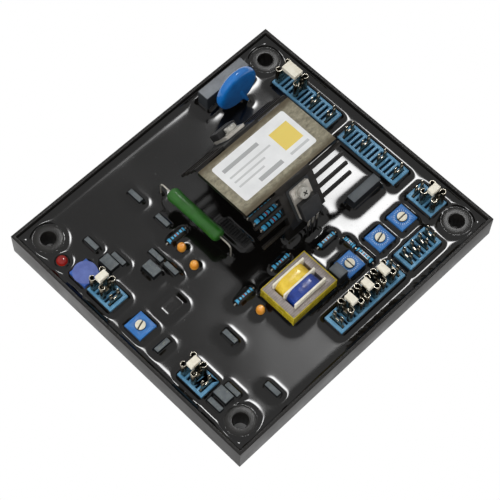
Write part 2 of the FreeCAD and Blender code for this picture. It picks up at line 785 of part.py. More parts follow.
def make_film_resistor(x, y, turn, share):
    place = on_board(x, y)
    length = f"({share} * film_resistor_length)"
    reach = f"({length} / 2 + film_lead_reach)"
    axis = "x" if turn == 0 else "y"

    def spot(start):
        """A place on the resistor's own axis."""
        return (f"{place[0]} + {start}", place[1]) if turn == 0 else (place[0], f"{place[1]} + {start}")

    high = "film_resistor_lift"
    parts = [rod("resistor_waist", "film_resistor_waist / 2", length, *spot(f"-{length} / 2"), high, axis)]
    for start in (f"-{length} / 2", f"{length} / 2 - film_resistor_cap"):
        parts.append(rod("resistor_cap", "film_resistor_diameter / 2", "film_resistor_cap", *spot(start), high, axis))
    parts.append(wire("resistor_axle", "0.9 * lead_diameter", f"2 * {reach}", *spot(f"-{reach}"), high, axis))
    for side in (-1, 1):
        leg = wire("resistor_leg", "lead_diameter", f"{high} + lead_diameter / 2 - {board_top}",
                   *spot(f"{side} * {reach}"), board_top)
        parts.append(leg)
        resin_cuts.append(leg)
    return fuse("film_resistor", parts)


def make_power_resistor(x, y):
    place = on_board(x, y)
    body = rod("power_body", "power_resistor_diameter / 2", "power_resistor_length", place[0],
               f"{place[1]} - power_resistor_length / 2", "power_resistor_lift", "y")
    node("power_resistor_body", bevelled("power_bevelled", body, lies_across("y"), "power_resistor_chamfer"))
    across, along_y = body.Placement.Base.x, body.Placement.Base.y + size("power_resistor_length") / 2
    lift, floor = size("power_resistor_lift"), size("board_lift") + size("board_thickness")
    wires = []
    for side in (-1, 1):
        end = along_y + side * size("power_resistor_length") / 2
        far = end + side * size("power_lead_reach")
        route = [FreeCAD.Vector(across, end, lift), FreeCAD.Vector(across, far, lift), FreeCAD.Vector(across, far, floor)]
        wires.append(bent_wire("power_lead", route, size("power_lead_diameter") / 2, size("power_lead_bend")))
    resin_cuts.extend(wires)
    node("power_resistor_leads", group("power_leads", wires))


# Disc varistor on its edge, with a ridge on each face where a lead runs down under the coating

def make_varistor(x, y):
    place = on_board(x, y)
    disc = rod("varistor_disc", "varistor_diameter / 2", "varistor_thickness", place[0],
               f"{place[1]} - varistor_thickness / 2", "varistor_lift", "y")
    parts = [bevelled("varistor_bevelled", disc, lies_across("y"), "varistor_chamfer")]
    legs = []
    for side in (-1, 1):
        run = FreeCAD.Vector(-side * size("ridge_aside"), side * size("ridge_out"), -size("ridge_drop"))
        ridge = doc.addObject("Part::Cone", "varistor_ridge")
        bind(ridge, Radius1="ridge_radius", Radius2="ridge_tip")
        ridge.Height = run.Length
        ridge.Placement = FreeCAD.Placement(FreeCAD.Vector(), FreeCAD.Rotation(FreeCAD.Vector(0, 0, 1), run))
        start = f"{place[1]} + {side} * (varistor_thickness / 2 - ridge_radius)"
        move(ridge, place[0], start, "varistor_lift")
        parts.append(ridge)
        legs.append(wire("varistor_leg", "lead_diameter", f"varistor_lift - ridge_drop + ridge_tip - {board_top}",
                         f"{place[0]} - {side} * ridge_aside", f"{start} + {side} * ridge_out", board_top))
    whole = fuse("varistor_whole", parts)
    resin_cuts.extend(legs)
    node("varistor", whole)
    node("varistor_leads", group("varistor_legs", [cut("varistor_lead", leg, whole) for leg in legs]))


# Lamp, beads and the ribbed resistor network

def make_lamp(x, y):
    place = on_board(x, y)
    barrel = rod("lamp_barrel", "lamp_diameter / 2", f"lamp_top - {board_top}", *place, board_top)
    dome = bevelled("lamp_dome", barrel, lies_across("z", size("resin_level")), "lamp_chamfer")
    collar = rod("lamp_collar_ring", "lamp_collar / 2", "lamp_collar_height", *place, board_top)
    whole = fuse("lamp", [dome, collar])
    resin_cuts.append(whole)
    return node("indicator_lamp", whole)


def make_bead(x, y):
    place = on_board(x, y)
    drop = rod("bead_drop", "bead_diameter / 2", "bead_height", *place, "bead_bottom")
    legs = [wire("bead_leg", "lead_diameter", f"bead_bottom + bead_height / 2 - {board_top}",
                 f"{place[0]} + {side} * bead_pitch / 2", place[1], board_top) for side in (-1, 1)]
    resin_cuts.extend(legs)
    return fuse("bead", [bevelled("bead_bevelled", drop, lies_across("z"), "bead_chamfer")] + legs)


def make_network(x, y):
    place = on_board(x, y)
    core = box("network_core", "network_width", "network_length", f"network_top - network_rib_height - {board_top}",
               *place, board_top)
    ribs = [box("network_rib", "network_width", "network_rib", "2 * network_rib_height", place[0],
                f"{place[1]} + {k} * network_length / 6", "network_top - 2 * network_rib_height")
            for k in (-2.5, -1.5, -0.5, 0.5, 1.5, 2.5)]
    whole = fuse("network", [core] + ribs)
    resin_cuts.append(core)
    return node("resistor_network", whole)


# Transformer: laminated core in a yellow band, bobbin with three flanges, two windings

def make_transformer(x, y):
    place = on_board(x, y)
    stack_low = "core_top - core_stack"
    stack = box("core_stack_block", "core_length", "core_width", "core_stack", *place, stack_low)
    window = "(core_length - 2 * core_frame_x - core_leg) / 2"
    depth = "core_width - 2 * core_frame_y"
    windows = [box("core_window", window, depth, "core_stack", f"{place[0]} + {side} * (core_leg + {window}) / 2",
                   place[1], stack_low) for side in (-1, 1)]
    node("transformer_core", cut("core", stack, fuse("core_windows", windows)))

    band_low = "core_top + band_proud - band_depth"
    band_out = box("band_outer", "core_length + 2 * band_thickness", "core_width + 2 * band_thickness", "band_depth",
                   *place, band_low)
    band_in = box("band_inner", "core_length", "core_width", "band_depth", *place, band_low)
    node("transformer_band", cut("band", band_out, band_in))

    flange_wide = "core_length - 2 * core_frame_x - 2 * fit_gap"
    flange_high = f"flange_top - {board_top}"
    middle = "(core_top - core_stack / 2)"
    tube = box("bobbin_tube", "core_leg + 2 * fit_gap + 2 * bobbin_wall", depth + " - 2 * fit_gap",
               "core_stack + 2 * fit_gap + 2 * bobbin_wall", *place, f"{stack_low} - fit_gap - bobbin_wall")
    pitch = f"(({depth} - 2 * fit_gap - flange_thickness) / 2)"
    flanges = [box("bobbin_flange", flange_wide, "flange_thickness", flange_high, place[0],
                   f"{place[1]} + {k} * {pitch}", board_top) for k in (-1, 0, 1)]
    leg_room = box("leg_room", "core_leg + 2 * fit_gap", depth, "core_stack + 2 * fit_gap", *place,
                   f"{stack_low} - fit_gap")
    node("transformer_bobbin", cut("bobbin", fuse("bobbin_solid", [tube] + flanges), leg_room))

    for label, side in (("yellow_winding", 0.5), ("blue_winding", -0.5)):
        coil_wide = f"{flange_wide} - 2 * coil_inset"
        coil_long = f"{pitch} - flange_thickness"
        coil_y = f"{place[1]} + {side} * {pitch}"
        block = box("coil_block", coil_wide, coil_long, f"flange_top + coil_proud - {board_top} - coil_lift",
                    place[0], coil_y, f"{board_top} + coil_lift")
        soft = rounded("coil_soft", block, runs_along("y"), "coil_round")
        node(label, cut("coil", soft, box("coil_room", "core_leg + 2 * fit_gap + 2 * bobbin_wall", coil_long,
                                          "core_stack + 2 * fit_gap + 2 * bobbin_wall", place[0], coil_y,
                                          f"{stack_low} - fit_gap - bobbin_wall")))
    resin_cuts.append(box("core_socket", "core_length + 2 * band_thickness", "core_width + 2 * band_thickness",
                          f"resin_level - {board_top}", *place, board_top))


# Potting resin, poured round everything that stands on the board

def make_resin():
    slab = box("resin_slab", f"{tray_length} - 2 * tray_wall", f"{tray_width} - 2 * tray_wall",
               "resin_level - tray_floor", "0", "0", "tray_floor")
    for i in (-1, 1):
        for j in (-1, 1):
            place = (f"{i} * hole_pitch_x / 2", f"{j} * hole_pitch_y / 2")
            resin_cuts.append(rod("boss_socket", "boss_diameter / 2", "resin_level - tray_floor", *place, "tray_floor"))
            resin_cuts.append(rod("shoulder_socket", "shoulder_diameter / 2", "board_lift - tray_floor", *place,
                                  "tray_floor"))
    return node("potting_resin", cut("resin", slab, fuse("resin_sockets", resin_cuts)))


make_tray()
make_board()
make_heatsink()
make_label()

screws, washers = [], []
for label, side in (("front", -1), ("rear", 1)):
    screw, washer = make_device(label, side)
    screws.append(screw)
    washers.append(washer)
node("device_screws", group("screw_pair", screws))
node("device_washers", group("washer_pair", washers))

# Each block: name, place, turn, number of slots, slots from blade to blade, and the blades that a link joins
blocks = [
    ("block_a", 61.9, 29.2, 90, 13, 4, [(2, 3)]),
    ("block_b", 61.9, -10.3, 90, 13, 4, []),
    ("block_c", 61.8, -41.3, 90, 5, 2, [(0, 1)]),
    ("block_d", 41.9, -54.4, 0, 7, 2, []),
    ("block_e", 10.05, -54.4, 0, 15, 2, [(1, 2), (3, 4), (5, 6)]),
    ("block_f", -63.9, 20.4, 90, 5, 2, [(1, 2)]),
    ("block_g", -63.8, -32.5, 90, 5, 2, [(1, 2)]),
]
blade = make_blade()
contacts = {step: make_link_contact(f"contact_{step}", step) for step in (2, 4)}
sleeves = {step: make_link_sleeve(f"sleeve_{step}", step) for step in (2, 4)}
contact_copies, sleeve_copies = [], []
for label, x, y, turn, slots, step, links in blocks:
    make_block_body(label, x, y, turn, slots)
    copies = []
    for k in range(0, slots, step):
        offset = f"({k} - {slots - 1} / 2) * slot_pitch"
        copies.append(link_to(blade, "blade_copy", *along(x, y, turn, offset), "block_top", turn))
    node(f"{label}_blades", group("blade_row", copies))
    for first, second in links:
        offset = f"({(first + second) / 2 * step} - {slots - 1} / 2) * slot_pitch"
        lift = "block_top + contact_lift"
        contact_copies.append(link_to(contacts[step], "contact_copy", *along(x, y, turn, offset), lift, turn))
        sleeve_copies.append(link_to(sleeves[step], "sleeve_copy", *along(x, y, turn, offset), lift, turn))
node("link_contacts", group("contact_row", contact_copies))
node("link_sleeves", group("sleeve_row", sleeve_copies))

for number, x, y, slot_turn in ((1, 48.2, -39.8, -90), (2, 34.4, -40.0, -75), (3, 16.6, -39.5, 0), (4, -64.3, 0.4, -72)):
    make_trimmer(number, x, y, slot_turn)
make_sealed_trimmer(-64.3, 20.4, 5)

make_box_capacitors("small_capacitors", "small_cap", [
    (-24.7, 45.6, 90), (-24.6, 29.1, 90), (-53.2, 41.7, 90), (-50.1, 28.7, 90), (-37.9, 19.0, 90), (-37.6, 10.3, 90),
    (-41.9, -28.5, 90), (-57.5, -45.7, 90), (-66.8, -45.4, 90), (-45.9, -56.6, 90), (-64.1, -12.2, 0)])
make_box_capacitors("medium_capacitors", "medium_cap", [(-54.4, 29.6, 90), (-43.8, 15.3, 90), (-61.9, -45.0, 90)])
make_box_capacitors("covered_capacitor", "covered_cap", [(-48.7, -1.5, 0)])
make_box_capacitors("large_film_capacitor", "large_cap", [(39.6, 58.1, 0)])
make_box_capacitors("long_film_capacitor", "long_cap", [(44.8, -20.6, 0)])
make_box_capacitors("square_film_capacitor", "square_cap", [(8.6, -40.1, 0)])

resistors = [make_film_resistor(*item) for item in (
    (-25.3, 20.3, 0, 1.0), (-2.8, -18.7, 0, 1.0), (18.1, -24.9, 0, 1.0), (-24.8, -19.3, 0, 1.0),
    (23.9, -32.6, 90, 0.62), (24.1, -41.0, 90, 0.92), (8.6, 5.4, 0, 1.3), (8.6, 1.4, 0, 1.3), (8.6, -2.7, 0, 1.3))]
node("film_resistors", group("film_resistor_row", resistors))
make_power_resistor(-15.5, 18.8)
make_varistor(38.5, 49.4)
make_lamp(-67.0, 44.8)
beads = [make_bead(*item) for item in ((-27.9, 14.3), (-29.9, 4.7), (-24.9, -28.8))]
node("bead_capacitors", group("bead_row", beads))
make_network(-6.6, 4.4)
make_transformer(-7.5, -33.4)
make_resin()
doc.recompute()

# Check every object and every solid before writing

for thing in doc.Objects:
    if "Invalid" in thing.State or "Error" in thing.State:
        raise RuntimeError(f"{thing.Label} failed: {thing.State}")
for thing in nodes:
    shape = thing.Shape
    if shape.isNull() or not shape.isValid() or not shape.Solids:
        raise RuntimeError(f"{thing.Label} has no valid solid")

os.makedirs("parts", exist_ok=True)
for thing in nodes:
    thing.Shape.exportStep(f"parts/{thing.Label}.step")
print(f"{len(nodes)} nodes written")
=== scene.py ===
import bpy
import bmesh
import math
import numpy as np
from mathutils import Matrix, Vector


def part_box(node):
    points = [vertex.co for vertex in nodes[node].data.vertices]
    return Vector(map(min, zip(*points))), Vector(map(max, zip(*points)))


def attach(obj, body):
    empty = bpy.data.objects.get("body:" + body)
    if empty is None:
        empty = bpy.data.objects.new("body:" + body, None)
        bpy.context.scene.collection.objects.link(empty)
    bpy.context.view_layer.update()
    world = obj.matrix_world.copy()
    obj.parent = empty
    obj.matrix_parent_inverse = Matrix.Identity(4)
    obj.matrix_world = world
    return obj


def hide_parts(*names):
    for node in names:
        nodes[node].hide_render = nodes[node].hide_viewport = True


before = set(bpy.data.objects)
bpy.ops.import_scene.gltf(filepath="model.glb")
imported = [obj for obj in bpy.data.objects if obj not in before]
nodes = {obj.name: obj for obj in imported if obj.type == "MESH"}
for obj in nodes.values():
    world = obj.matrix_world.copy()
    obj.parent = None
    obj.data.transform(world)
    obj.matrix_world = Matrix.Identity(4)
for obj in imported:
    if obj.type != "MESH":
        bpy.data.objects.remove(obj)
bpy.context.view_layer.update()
mm = 0.001
mainBody = "regulator"
print("frame loaded:", len(nodes), "nodes")


# helpers for materials

def hexColour(text):
    channels = [int(text[i:i + 2], 16) / 255 for i in (1, 3, 5)]
    return tuple(c / 12.92 if c <= 0.04045 else ((c + 0.055) / 1.055) ** 2.4 for c in channels) + (1.0,)


def newMaterial(name, values):
    material = bpy.data.materials.new(name)
    material.use_nodes = True
    shader = material.node_tree.nodes["Principled BSDF"]
    for key, value in values.items():
        shader.inputs[key].default_value = hexColour(value) if isinstance(value, str) else value
    return material, shader


def addNode(material, kind, settings=None, inputs=None):
    # inputs: name or index -> value, or (node, socket) for a link
    node = material.node_tree.nodes.new(kind)
    for key, value in (settings or {}).items():
        setattr(node, key, value)
    for key, value in (inputs or {}).items():
        if isinstance(value, tuple) and isinstance(value[0], bpy.types.Node):
            material.node_tree.links.new(value[0].outputs[value[1]], node.inputs[key])
        else:
            node.inputs[key].default_value = value
    return node


def linkTo(material, source, target, socket):  # source: (node, output)
    material.node_tree.links.new(source[0].outputs[source[1]], target.inputs[socket])


def addMath(material, operation, *values):
    return addNode(material, "ShaderNodeMath", {"operation": operation}, dict(enumerate(values))), "Value"


def addRamp(material, source, stops, mode="LINEAR"):  # stops: list of (position, hex or grey level)
    ramp = addNode(material, "ShaderNodeValToRGB", inputs={"Fac": source})
    ramp.color_ramp.interpolation = mode
    elements = ramp.color_ramp.elements
    while len(elements) < len(stops):
        elements.new(0.5)
    for element, (position, colour) in zip(elements, stops):
        element.position = position
        element.color = hexColour(colour) if isinstance(colour, str) else (colour, colour, colour, 1.0)
    return ramp, "Color"


def mixColours(material, factor, first, second):  # colours: hex or (node, output)
    node = addNode(material, "ShaderNodeMix", {"data_type": "RGBA"}, {0: factor})
    for socket, colour in ((6, first), (7, second)):
        if isinstance(colour, str):
            node.inputs[socket].default_value = hexColour(colour)
        else:
            linkTo(material, colour, node, socket)
    return node, 2


def objectPlace(material):  # where a point lies on the part, split into x, y and z in metres
    where = addNode(material, "ShaderNodeTexCoord")
    return addNode(material, "ShaderNodeSeparateXYZ", inputs={"Vector": (where, "Object")})


def noiseOn(material, millimetres, detail=3.0, roughness=0.55, stretch=(1, 1, 1)):
    # a pattern whose spots are about as large as the millimetres given
    where = addNode(material, "ShaderNodeTexCoord")
    placed = addNode(material, "ShaderNodeMapping", inputs={"Vector": (where, "Object"), "Scale": stretch})
    noise = addNode(material, "ShaderNodeTexNoise",
                    inputs={"Vector": (placed, "Vector"), "Scale": 1 / (millimetres * mm), "Detail": detail,
                            "Roughness": roughness})
    return noise, "Fac"


def stepAt(material, source, start, end):  # 0 below start, 1 above end, in metres
    node = addNode(material, "ShaderNodeMapRange",
                   inputs={"Value": source, "From Min": start, "From Max": end})
    return node, "Result"


def facingUp(material):  # 1 on faces that look up, 0 on walls
    facing = addNode(material, "ShaderNodeNewGeometry")
    split = addNode(material, "ShaderNodeSeparateXYZ", inputs={"Vector": (facing, "Normal")})
    return stepAt(material, (split, "Z"), 0.75, 0.95)  # from 41 to 18 degrees off level


def relief(material, shader, sources):  # sources: list of (source, depth in mm)
    last = None
    for source, depth in sources:
        bump = addNode(material, "ShaderNodeBump",
                       inputs={"Strength": 1.0, "Distance": depth * mm, "Height": source})
        if last:
            linkTo(material, (last, "Normal"), bump, "Normal")
        last = bump
    linkTo(material, (last, "Normal"), shader, "Normal")


def mottled(name, tones, patch, values, grain=0.3, grainDepth=0.01, roughRange=None):
    # a moulded or dipped surface: tone and gloss change slowly over patches, and the relief has a fine grain
    # patch, grain and grainDepth in mm
    material, shader = newMaterial(name, values)
    slow = noiseOn(material, patch)
    tone = addRamp(material, slow, [(0.3, tones[0]), (0.7, tones[1])])
    linkTo(material, tone, shader, "Base Color")
    relief(material, shader, [(noiseOn(material, grain, detail=2.0), grainDepth)])
    if roughRange:
        rough = addNode(material, "ShaderNodeMapRange",
                        inputs={"Value": slow, "From Min": 0.3, "From Max": 0.7,
                                "To Min": roughRange[0], "To Max": roughRange[1]})
        linkTo(material, (rough, "Result"), shader, "Roughness")
    return material, shader, tone


def repaint(material, shader, source):
    linkTo(material, source, shader, "Base Color")


def dress(names, material):
    for name in names:
        mesh = nodes[name].data
        mesh.materials.clear()
        mesh.materials.append(material)


softening = {"weld": 0.002, "flat": 1, "sharp": 38}  # mm, degrees, degrees


def soften(names, width, segments=2):  # rounds the sharp edges of the CAD solids and smooths their curves
    for name in names:
        node = nodes[name]
        node.data.polygons.foreach_set("use_smooth", [True] * len(node.data.polygons))
        weld = node.modifiers.new("weld", "WELD")
        weld.merge_threshold = softening["weld"] * mm
        flat = node.modifiers.new("flat", "DECIMATE")
        flat.decimate_type = "DISSOLVE"
        flat.angle_limit = math.radians(softening["flat"])
        edges = node.modifiers.new("edges", "BEVEL")
        edges.width = width * mm
        edges.segments = segments
        edges.limit_method = "ANGLE"
        edges.angle_limit = math.radians(softening["sharp"])
        edges.harden_normals = True


# helpers for shapes

def eased(profile, rounds=2):  # cuts the corners of a run of points, keeps its ends
    points = [Vector(p) for p in profile]
    for _ in range(rounds):
        run = [points[0]]
        for a, b in zip(points, points[1:]):
            run += [a.lerp(b, 0.25), a.lerp(b, 0.75)]
        points = run + [points[-1]]
    return [tuple(p) for p in points]


def turned(name, profile, material, turn, steps=32, along=None):
    # turns a profile of (radius, height) in mm round the z axis, then lays it in place
    # along: the two heights between which the attribute of that name runs from 0 to 1
    shape = bmesh.new()
    ring = [shape.verts.new((radius * mm, 0, height * mm)) for radius, height in profile]
    edges = [shape.edges.new(pair) for pair in zip(ring, ring[1:])]
    bmesh.ops.spin(shape, geom=ring + edges, cent=(0, 0, 0), axis=(0, 0, 1), angle=2 * math.pi, steps=steps,
                   use_merge=True)
    bmesh.ops.remove_doubles(shape, verts=shape.verts, dist=0.001 * mm)
    bmesh.ops.recalc_face_normals(shape, faces=shape.faces)
    heights = [v.co.z for v in shape.verts]
    shape.transform(turn)
    mesh = bpy.data.meshes.new(name)
    shape.to_mesh(mesh)
    shape.free()
    if along:
        share = mesh.attributes.new("along", "FLOAT", "POINT")
        share.data.foreach_set("value", [(z / mm - along[0]) / (along[1] - along[0]) for z in heights])
    mesh.polygons.foreach_set("use_smooth", [True] * len(mesh.polygons))
    mesh.materials.append(material)
    piece = bpy.data.objects.new(name, mesh)
    bpy.context.scene.collection.objects.link(piece)
    return piece


def joined(name, pieces):  # one object of several, named as a piece
    bpy.ops.object.select_all(action="DESELECT")
    for piece in pieces:
        piece.select_set(True)
    bpy.context.view_layer.objects.active = pieces[0]
    bpy.ops.object.join()
    whole = bpy.context.object
    whole.name = name
    whole.data.name = name
    return whole


def bentLead(name, points, radius, material):  # a drawn wire along points given in mm
    curve = bpy.data.curves.new(name, "CURVE")
    curve.dimensions = "3D"
    curve.bevel_depth = radius * mm
    curve.bevel_resolution = 3
    curve.use_fill_caps = True
    spline = curve.splines.new("NURBS")
    spline.points.add(len(points) - 1)
    for point, place in zip(spline.points, points):
        point.co = (place[0] * mm, place[1] * mm, place[2] * mm, 1)
    spline.use_endpoint_u = True
    spline.order_u = 3
    spline.resolution_u = 4
    holder = bpy.data.objects.new(name, curve)
    bpy.context.scene.collection.objects.link(holder)
    mesh = bpy.data.meshes.new_from_object(holder)
    bpy.data.objects.remove(holder)
    mesh.polygons.foreach_set("use_smooth", [True] * len(mesh.polygons))
    mesh.materials.clear()
    mesh.materials.append(material)
    piece = bpy.data.objects.new(name, mesh)
    bpy.context.scene.collection.objects.link(piece)
    return piece


def weldedCopy(name):  # a node's loose triangles, merged
    shape = bmesh.new()
    shape.from_mesh(nodes[name].data)
    shape.transform(nodes[name].matrix_world)
    bmesh.ops.remove_doubles(shape, verts=shape.verts, dist=softening["weld"] * mm)
    return shape


def islands(shape):  # low and high corners in mm of each run of joined vertices, in order
    left = set(shape.verts)
    found = []
    while left:
        stack = [left.pop()]
        group = []
        while stack:
            vert = stack.pop()
            group.append(vert.co.copy())
            for edge in vert.link_edges:
                other = edge.other_vert(vert)
                if other in left:
                    left.remove(other)
                    stack.append(other)
        found.append(([min(p[i] for p in group) / mm for i in range(3)],
                      [max(p[i] for p in group) / mm for i in range(3)]))
    return sorted(found)


def solidsOf(name):  # the box in mm of each solid of a node
    shape = weldedCopy(name)
    found = islands(shape)
    shape.free()
    return found


def sectionsOf(name, height):  # rectangles in mm where a node passes through a level
    shape = weldedCopy(name)
    bmesh.ops.bisect_plane(shape, geom=shape.verts[:] + shape.edges[:] + shape.faces[:], dist=1e-7,
                           plane_co=(0, 0, height * mm), plane_no=(0, 0, 1),
                           clear_outer=True, clear_inner=True)
    found = islands(shape)
    shape.free()
    return found


# camera: the photograph's sight line and perspective

view = {"lens": 118.17, "sensor": 36.0, "azimuth": -47.105, "elevation": 62.411, "roll": 2.432,
        "shiftX": 1.283, "shiftY": 3.402, "distance": 695.629}  # sight line in degrees, offsets in mm


def makeCamera():
    az, el, roll = (math.radians(view[k]) for k in ("azimuth", "elevation", "roll"))
    right = Vector((math.cos(az), math.sin(az), 0))
    back = Vector((math.sin(az) * math.cos(el), -math.cos(az) * math.cos(el), math.sin(el)))
    up = back.cross(right)
    rightTurned = right * math.cos(roll) + up * math.sin(roll)
    upTurned = up * math.cos(roll) - right * math.sin(roll)
    place = -(rightTurned * view["shiftX"] + upTurned * view["shiftY"]) + back * view["distance"]
    camera = bpy.data.objects.new("camera", bpy.data.cameras.new("camera"))
    bpy.context.scene.collection.objects.link(camera)
    camera.data.lens = view["lens"]
    camera.data.sensor_width = view["sensor"]
    camera.data.clip_start = 0.01
    camera.data.clip_end = 10
    turn = Matrix((rightTurned, upTurned, back)).transposed().to_4x4()
    camera.matrix_world = Matrix.Translation(place * mm) @ turn
    bpy.context.scene.camera = camera


makeCamera()
print("camera placed")


# tray: one moulding with open corner bosses, a domed rim on each

boss = {"x": 64.0, "y": 56.7, "low": 9.3, "steps": 64,
        "profile": [(3.28, 9.9), (3.28, 10.95), (3.6, 11.12), (5.9, 11.05), (7.1, 10.65), (7.3, 9.9)]}


def dressTray():
    # moulded nylon: satin and near black, with slow paler and duller patches
    nylon, _, _ = mottled("glass filled nylon, moulded", ("#181716", "#242220"), 14,
                          {"Roughness": 0.4, "Specular IOR Level": 0.36}, 2.0, 0.003, (0.34, 0.48))
    dress(["tray"], nylon)
    soften(["tray"], 0.7, 3)
    # rubbed nylon: the same plastic, smoother, so that each rim shows a soft ring of light
    rubbed, _ = newMaterial("glass filled nylon, rubbed", {"Base Color": "#1b1a18", "Roughness": 0.3})
    low, profile = boss["low"], boss["profile"]
    ring = [(profile[0][0], low)] + eased(profile, 3) + [(profile[-1][0], low), (profile[0][0], low)]
    corners = [Vector((i * boss["x"], j * boss["y"], 0)) * mm for i in (-1, 1) for j in (-1, 1)]
    pieces = [turned("boss_rim", ring, rubbed, Matrix.Translation(corner), boss["steps"])
              for corner in corners]
    rims = joined("boss_rims", pieces)
    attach(rims, mainBody)


# potting resin: poured level, drawn up every wall that it wets

pool = {"level": 10.0, "reachX": 73.37, "reachY": 65.87, "step": 0.5, "bottom": 2.05,
        "wallRise": 1.4, "wallWidth": 1.35,
        "bossRadius": 7.1, "bossRise": 0.85, "bossWidth": 0.95, "bossOpening": 6.2,
        "leadSize": 1.3, "corner": 1.1, "cornerShare": 0.45, "uneven": 0.12, "unevenTurn": 1.7, "cut": 0.05,
        "drop": 2.6, "inset": 0.5, "fade": 0.6,
        "saddle": 2.4, "saddleLow": 1.2, "saddleWidth": 0.9,
        "mound": 1.3, "moundEdge": 1.2, "moundWidth": 2.4, "dimple": 0.3, "dimpleWidth": 0.9}
film = {"cap": 1.35, "waist": 1.14, "lift": 11.4, "lead": 0.35, "reach": 0.9, "foot": 9.6,
        "end": 0.5, "dome": 0.86, "domeRun": 0.1, "shoulder": 0.55, "belt": 1.3, "neck": 2.1,
        "bend": 0.6, "thin": 0.95, "inside": 0.3}
climbs = {"block": (2.1, 0.85), "trimmer": (1.6, 0.85), "sealed": (1.9, 0.95), "small": (1.8, 0.9),
          "medium": (2.1, 1.0), "large": (2.9, 1.2), "long": (2.6, 1.0), "square": (2.6, 1.1),
          "heatsink": (2.2, 1.2), "transformer_band": (2.5, 1.2), "transformer_core": (2.5, 1.2),
          "resistor": (1.6, 1.0), "indicator": (1.5, 1.0),
          "lead": (1.4, 0.8)}  # rise and width in mm, by how a node's name starts
wave = {"rise": 0.02, "length": 9, "bend": 1.3, "bendLength": 13}  # rises and lengths in mm
ripple = {"rise": 0.015, "lengthX": 15, "lengthY": 7.3}
dryNodes = ("tray", "potting_resin", "circuit_board", "covered_capacitor", "film_resistors")


